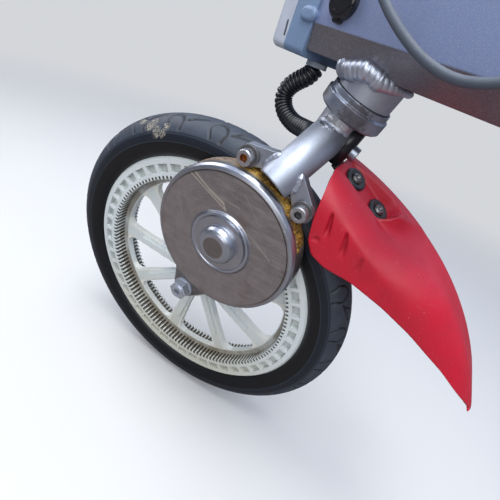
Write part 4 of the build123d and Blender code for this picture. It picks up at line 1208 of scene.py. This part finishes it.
def make_grease():
    """Lumps of old grease and rust on the drum's wall below the leg."""
    random = np.random.default_rng(11)
    shape = bmesh.new()
    bmesh.ops.create_icosphere(shape, subdivisions=2, radius=1.0)
    corners, sides = corners_and_faces(shape)
    points, faces = [], []
    for number in range(120):
        angle = random.uniform(90, 158)
        left = 42.0 + random.normal(0, 2.6) + 4.0 * smooth(angle, 100, 135)
        left = float(np.clip(left, 36.0, 51.0))
        wide = random.uniform(0.8, 2.6)
        spot = corners * (1 + 0.3 * np.sin(corners @ random.uniform(-4, 4, 3))[:, None])
        spot = spot * (wide * random.uniform(0.7, 1.5), wide, wide * 0.55)
        t = radians(angle)
        out, round_way = np.array((cos(t), 0, sin(t))), np.array((-sin(t), 0, cos(t)))
        centre = np.array((DRUM_AT[0], left, DRUM_AT[1])) + DRUM_R * out
        faces.append(np.array(sides) + number * len(corners))
        points.append(centre + spot @ np.stack((round_way, (0, 1.0, 0), out)))
    f = Finish("old_grease")
    n, place = f.n, f.n.in_mm(f.place)
    cloud = n.noise(place, 0.25, 5.0, 0.7)
    tone = n.mix(n.step(cloud, 0.4, 0.6), paint(66, 44, 28), colours().grease)
    tone = n.mix(n.step(n.noise(place, 0.6, 3.0), 0.55, 0.65), tone, colours().rust)
    f.set(Base_Color=tone, Roughness=n.between(cloud, 0.35, 0.7),
          Normal=n.bump(n.noise(place, 1.6, 4.0), 0.0006, 0.8))
    mesh_piece("grease_lumps", by_wheel(np.vstack(points)), np.vstack(faces), f.material,
               "fork")


# Operators
class FinishFrame(bpy.types.Operator):
    """Paint the beam and finish its nose, port and fittings"""

    bl_idname = "front_end.frame"
    bl_label = "Frame and nose"

    def execute(self, context):
        dress(beam_finish(), "frame_beam")
        dress(plastic("nose_plastic", colours().nose, 0.36, 0.1), "nose_cap")
        dress(plastic("trim_plastic", colours().trim, 0.4, 0.2, slot=(
            (193.9, 37.5, -41.4), (192.8, 37.5, -51.0))), "nose_trim")
        dress(plastic("port_rubber", paint(20, 20, 24), 0.18, 0.06, 900.0, 0.3), "port_cap")
        dress(plastic("grommet_rubber", paint(30, 31, 34), 0.45, 0.1), "cable_grommet")
        dress(plastic("clip_plastic", paint(44, 46, 50), 0.4, 0.1), "cable_clip")
        dress(plastic("gland_nylon", paint(150, 158, 168), 0.4, 0.1), "conduit_gland")
        return {"FINISHED"}


class FinishMetal(bpy.types.Operator):
    """Finish the leg, the steering head and the fasteners in bare metal"""

    bl_idname = "front_end.metal"
    bl_label = "Bare metal"

    def execute(self, context):
        make_leg()
        make_head_seam()
        dress(satin_aluminium("lug_aluminium", 1.0, 0.4), "lug_1", "lug_2")
        dress(satin_aluminium("head_tube_aluminium", 1.3, 0.4), "head_tube")
        cup = np.array(CUP_BOTTOM) * 1000
        # painted reflection and painted shade: a brownish patch forward and a dark patch at the
        # rear of the cup
        dress(worn_steel("cup_steel", (180, 190, 208), 0.33, (134, 134, 138), 0.6, [
            (tuple(cup + (18, 16, 6)), 14.0, (128, 110, 74), 0.55),
            (tuple(cup + (-16, 18, 1)), 15.0, (78, 66, 64), 0.7)]), "lower_cup", "upper_cup")
        dress(worn_steel("steerer_steel", (150, 152, 156), 0.3), "steerer", "top_nut")
        socket, other = by_wheel([(x, 50.2, z) for x, z in LUG_PLACES]) * 1000
        dress(worn_steel("lug_bolt_steel", (196, 198, 204), 0.3, (140, 130, 120), 0.4, [
            (tuple(socket), 6.2, (164, 98, 30), 1.0), (tuple(other), 5.8, (58, 58, 62), 0.8)]),
            "lug_bolt_1", "lug_bolt_2")
        dress(worn_steel("washer_steel", (140, 140, 144), 0.4), "lug_washer_1", "lug_washer_2")
        dress(worn_steel("zinc_steel", (224, 230, 240), 0.46, (184, 188, 194), 0.5), "axle_bolt",
              "axle_nut")
        dress(worn_steel("bracket_bolt_steel", (160, 168, 182), 0.34, (90, 90, 96), 0.5),
              "bracket_bolt")
        dress(worn_steel("axle_steel", (128, 126, 124), 0.4, (80, 60, 44), 0.6),
              "axle_shaft", "pinion")
        dress(bpy.data.materials["bracket_black"], "guard_bracket")
        return {"FINISHED"}


class FinishMotor(bpy.types.Operator):
    """Finish the drum motor and its backing plate"""

    bl_idname = "front_end.motor"
    bl_label = "Drum motor"

    def execute(self, context):
        dress(drum_finish(), "motor_cover")
        drum = np.array((DRUM_AT[0], 0, DRUM_AT[1]))
        spots = []
        # brown patches on the plate round the drum: old grease and rust, and painted shadow in the
        # band just outside the drum
        for angle, r, wide, tone, strength in (
                (95, 80, 14, (150, 116, 40), 0.8), (112, 80, 16, (120, 78, 34), 0.85),
                (75, 78, 12, (156, 124, 56), 0.7), (150, 80, 16, (110, 74, 40), 0.8)):
            local = drum + r * np.array((cos(radians(angle)), 0, sin(radians(angle))))
            spots.append((tuple(by_wheel([local + (0, 34, 0)])[0] * 1000), wide, tone, strength))
        dress(worn_steel("plate_steel", (158, 158, 160), 0.36, (100, 92, 84), 0.6, spots),
              "motor_plate")
        dress(worn_steel("motor_mass", (110, 108, 106), 0.5), "motor_core")
        make_grease()
        return {"FINISHED"}


class FinishWheel(bpy.types.Operator):
    """Finish the moulded wheel and make its tyre"""

    bl_idname = "front_end.wheel"
    bl_label = "Wheel and tyre"

    def execute(self, context):
        dress(nylon_finish(), "moulded_wheel")
        make_spoke_roots()
        make_tyre()
        return {"FINISHED"}


class MakeCables(bpy.types.Operator):
    """Make the corrugated conduit and the grey cable"""

    bl_idname = "front_end.cables"
    bl_label = "Conduit and cable"

    def execute(self, context):
        make_conduit()
        make_cable()
        return {"FINISHED"}


class MakeWelds(bpy.types.Operator):
    """Lay the weld beads of the head tube, the leg and the lugs"""

    bl_idname = "front_end.welds"
    bl_label = "Weld beads"

    def execute(self, context):
        make_welds()
        return {"FINISHED"}


class MakeGuard(bpy.types.Operator):
    """Make the red mudguard and its fasteners"""

    bl_idname = "front_end.guard"
    bl_label = "Mudguard"

    def execute(self, context):
        make_guard()
        make_guard_fasteners()
        return {"FINISHED"}


def soft_lamp(name, place, target, wide, power, tone=(1, 1, 1)):
    """A round lamp that points at a target."""
    light = bpy.data.lights.new(name, "AREA")
    light.shape = "DISK"
    light.size = wide
    light.energy = power
    light.color = tone
    lamp = bpy.data.objects.new(name, light)
    lamp.location = place
    lamp.rotation_euler = (Vector(target) - Vector(place)).to_track_quat("-Z", "Y").to_euler()
    bpy.context.scene.collection.objects.link(lamp)


class MakeStage(bpy.types.Operator):
    """Set the floor, the soft light and the camera of the photograph"""

    bl_idname = "front_end.stage"
    bl_label = "Stage"

    def execute(self, context):
        scene = context.scene
        low = solid_box[0][2]
        mesh = bpy.data.meshes.new("floor")
        mesh.from_pydata([(-6, -6, low), (6, -6, low), (6, 6, low), (-6, 6, low)], [],
                         [(0, 1, 2, 3)])
        f = Finish("floor_pale")
        # the camera sees a pale floor that fades into the world, the metal a brown one
        n, place = f.n, f.place
        path = n.add("ShaderNodeLightPath")
        seen = path["Is Camera Ray"]
        cloud = n.noise(place, 3.0, 4.0)
        tone = colours().floor
        pale = n.mix(cloud, tone, toned(tone, 0.95))
        fade = n.times(seen, n.step(n.vector("LENGTH", place), 0.9, 2.4))
        unseen = n.mix(path["Is Glossy Ray"], paint(156, 154, 152), paint(128, 120, 116))
        f.set(Base_Color=n.mix(seen, unseen, pale), Roughness=0.85,
              Alpha=n.math("SUBTRACT", 1.0, fade))
        mesh.materials.append(f.material)
        floor = bpy.data.objects.new("floor", mesh)
        scene.collection.objects.link(floor)
        world = bpy.data.worlds.new("studio")
        world.use_nodes = True
        n = Nodes(world.node_tree)
        height = n.parts(n.add("ShaderNodeTexCoord")["Generated"])["Z"]
        sky = n.mix(n.step(height, 0.0, 0.8), paint(100, 100, 106), paint(184, 198, 226))
        seen = n.add("ShaderNodeLightPath")["Is Camera Ray"]
        n.put(world.node_tree.nodes["Background"].inputs["Color"],
              n.mix(seen, sky, paint(212, 214, 218)))
        scene.world = world
        soft_lamp("high_lamp", (0.0, 0.35, 1.3), (0.15, 0.05, -0.2), 1.0, 21, (0.95, 0.98, 1.0))
        soft_lamp("side_lamp", (-0.7, 1.2, 0.7), (0.15, 0.05, -0.25), 1.7, 17)
        soft_lamp("front_lamp", (1.3, 0.4, 0.5), (0.2, 0.05, -0.3), 0.9, 6, (1.0, 0.97, 0.93))
        camera = bpy.data.cameras.new("camera")
        camera.lens, camera.sensor_width, camera.clip_start = 25.2, 36.0, 0.01
        look = Vector((0.576, -0.643, -0.505)).normalized()
        right = Vector((-0.562, -0.759, 0.327))
        right = (right - look * right.dot(look)).normalized()
        up = right.cross(look)
        holder = bpy.data.objects.new("camera", camera)
        turned = Matrix((right, up, -look)).transposed().to_4x4()
        holder.matrix_world = Matrix.Translation((-0.0608, 0.2595, -0.0567)) @ turned
        scene.collection.objects.link(holder)
        scene.camera = holder
        scene.view_settings.view_transform = "Standard"
        return {"FINISHED"}


class FrontEndPanel(bpy.types.Panel):
    """Lists the steps that finish the front end"""

    bl_idname = "VIEW3D_PT_front_end"
    bl_label = "Front end"
    bl_space_type = "VIEW_3D"
    bl_region_type = "UI"
    bl_category = "Front end"

    def draw(self, context):
        for step in STEPS:
            self.layout.operator(step.bl_idname)
        for group in (context.scene.front_end_sizes, context.scene.front_end_colours):
            box = self.layout.box()
            for name in group.__annotations__:
                box.prop(group, name)


STEPS = (FinishFrame, FinishMetal, FinishMotor, FinishWheel, MakeCables, MakeWelds, MakeGuard,
         MakeStage)
CLASSES = (FrontEndSizes, FrontEndColours, *STEPS, FrontEndPanel)


def register():
    for one in CLASSES:
        bpy.utils.register_class(one)
    bpy.types.Scene.front_end_sizes = PointerProperty(type=FrontEndSizes)
    bpy.types.Scene.front_end_colours = PointerProperty(type=FrontEndColours)


def unregister():
    del bpy.types.Scene.front_end_colours
    del bpy.types.Scene.front_end_sizes
    for one in reversed(CLASSES):
        bpy.utils.unregister_class(one)


def main():
    register()
    make_groups()
    bpy.ops.front_end.frame()
    bpy.ops.front_end.metal()
    bpy.ops.front_end.motor()
    bpy.ops.front_end.wheel()
    bpy.ops.front_end.cables()
    bpy.ops.front_end.welds()
    bpy.ops.front_end.guard()
    bpy.ops.front_end.stage()


if __name__ == "__main__":
    main()
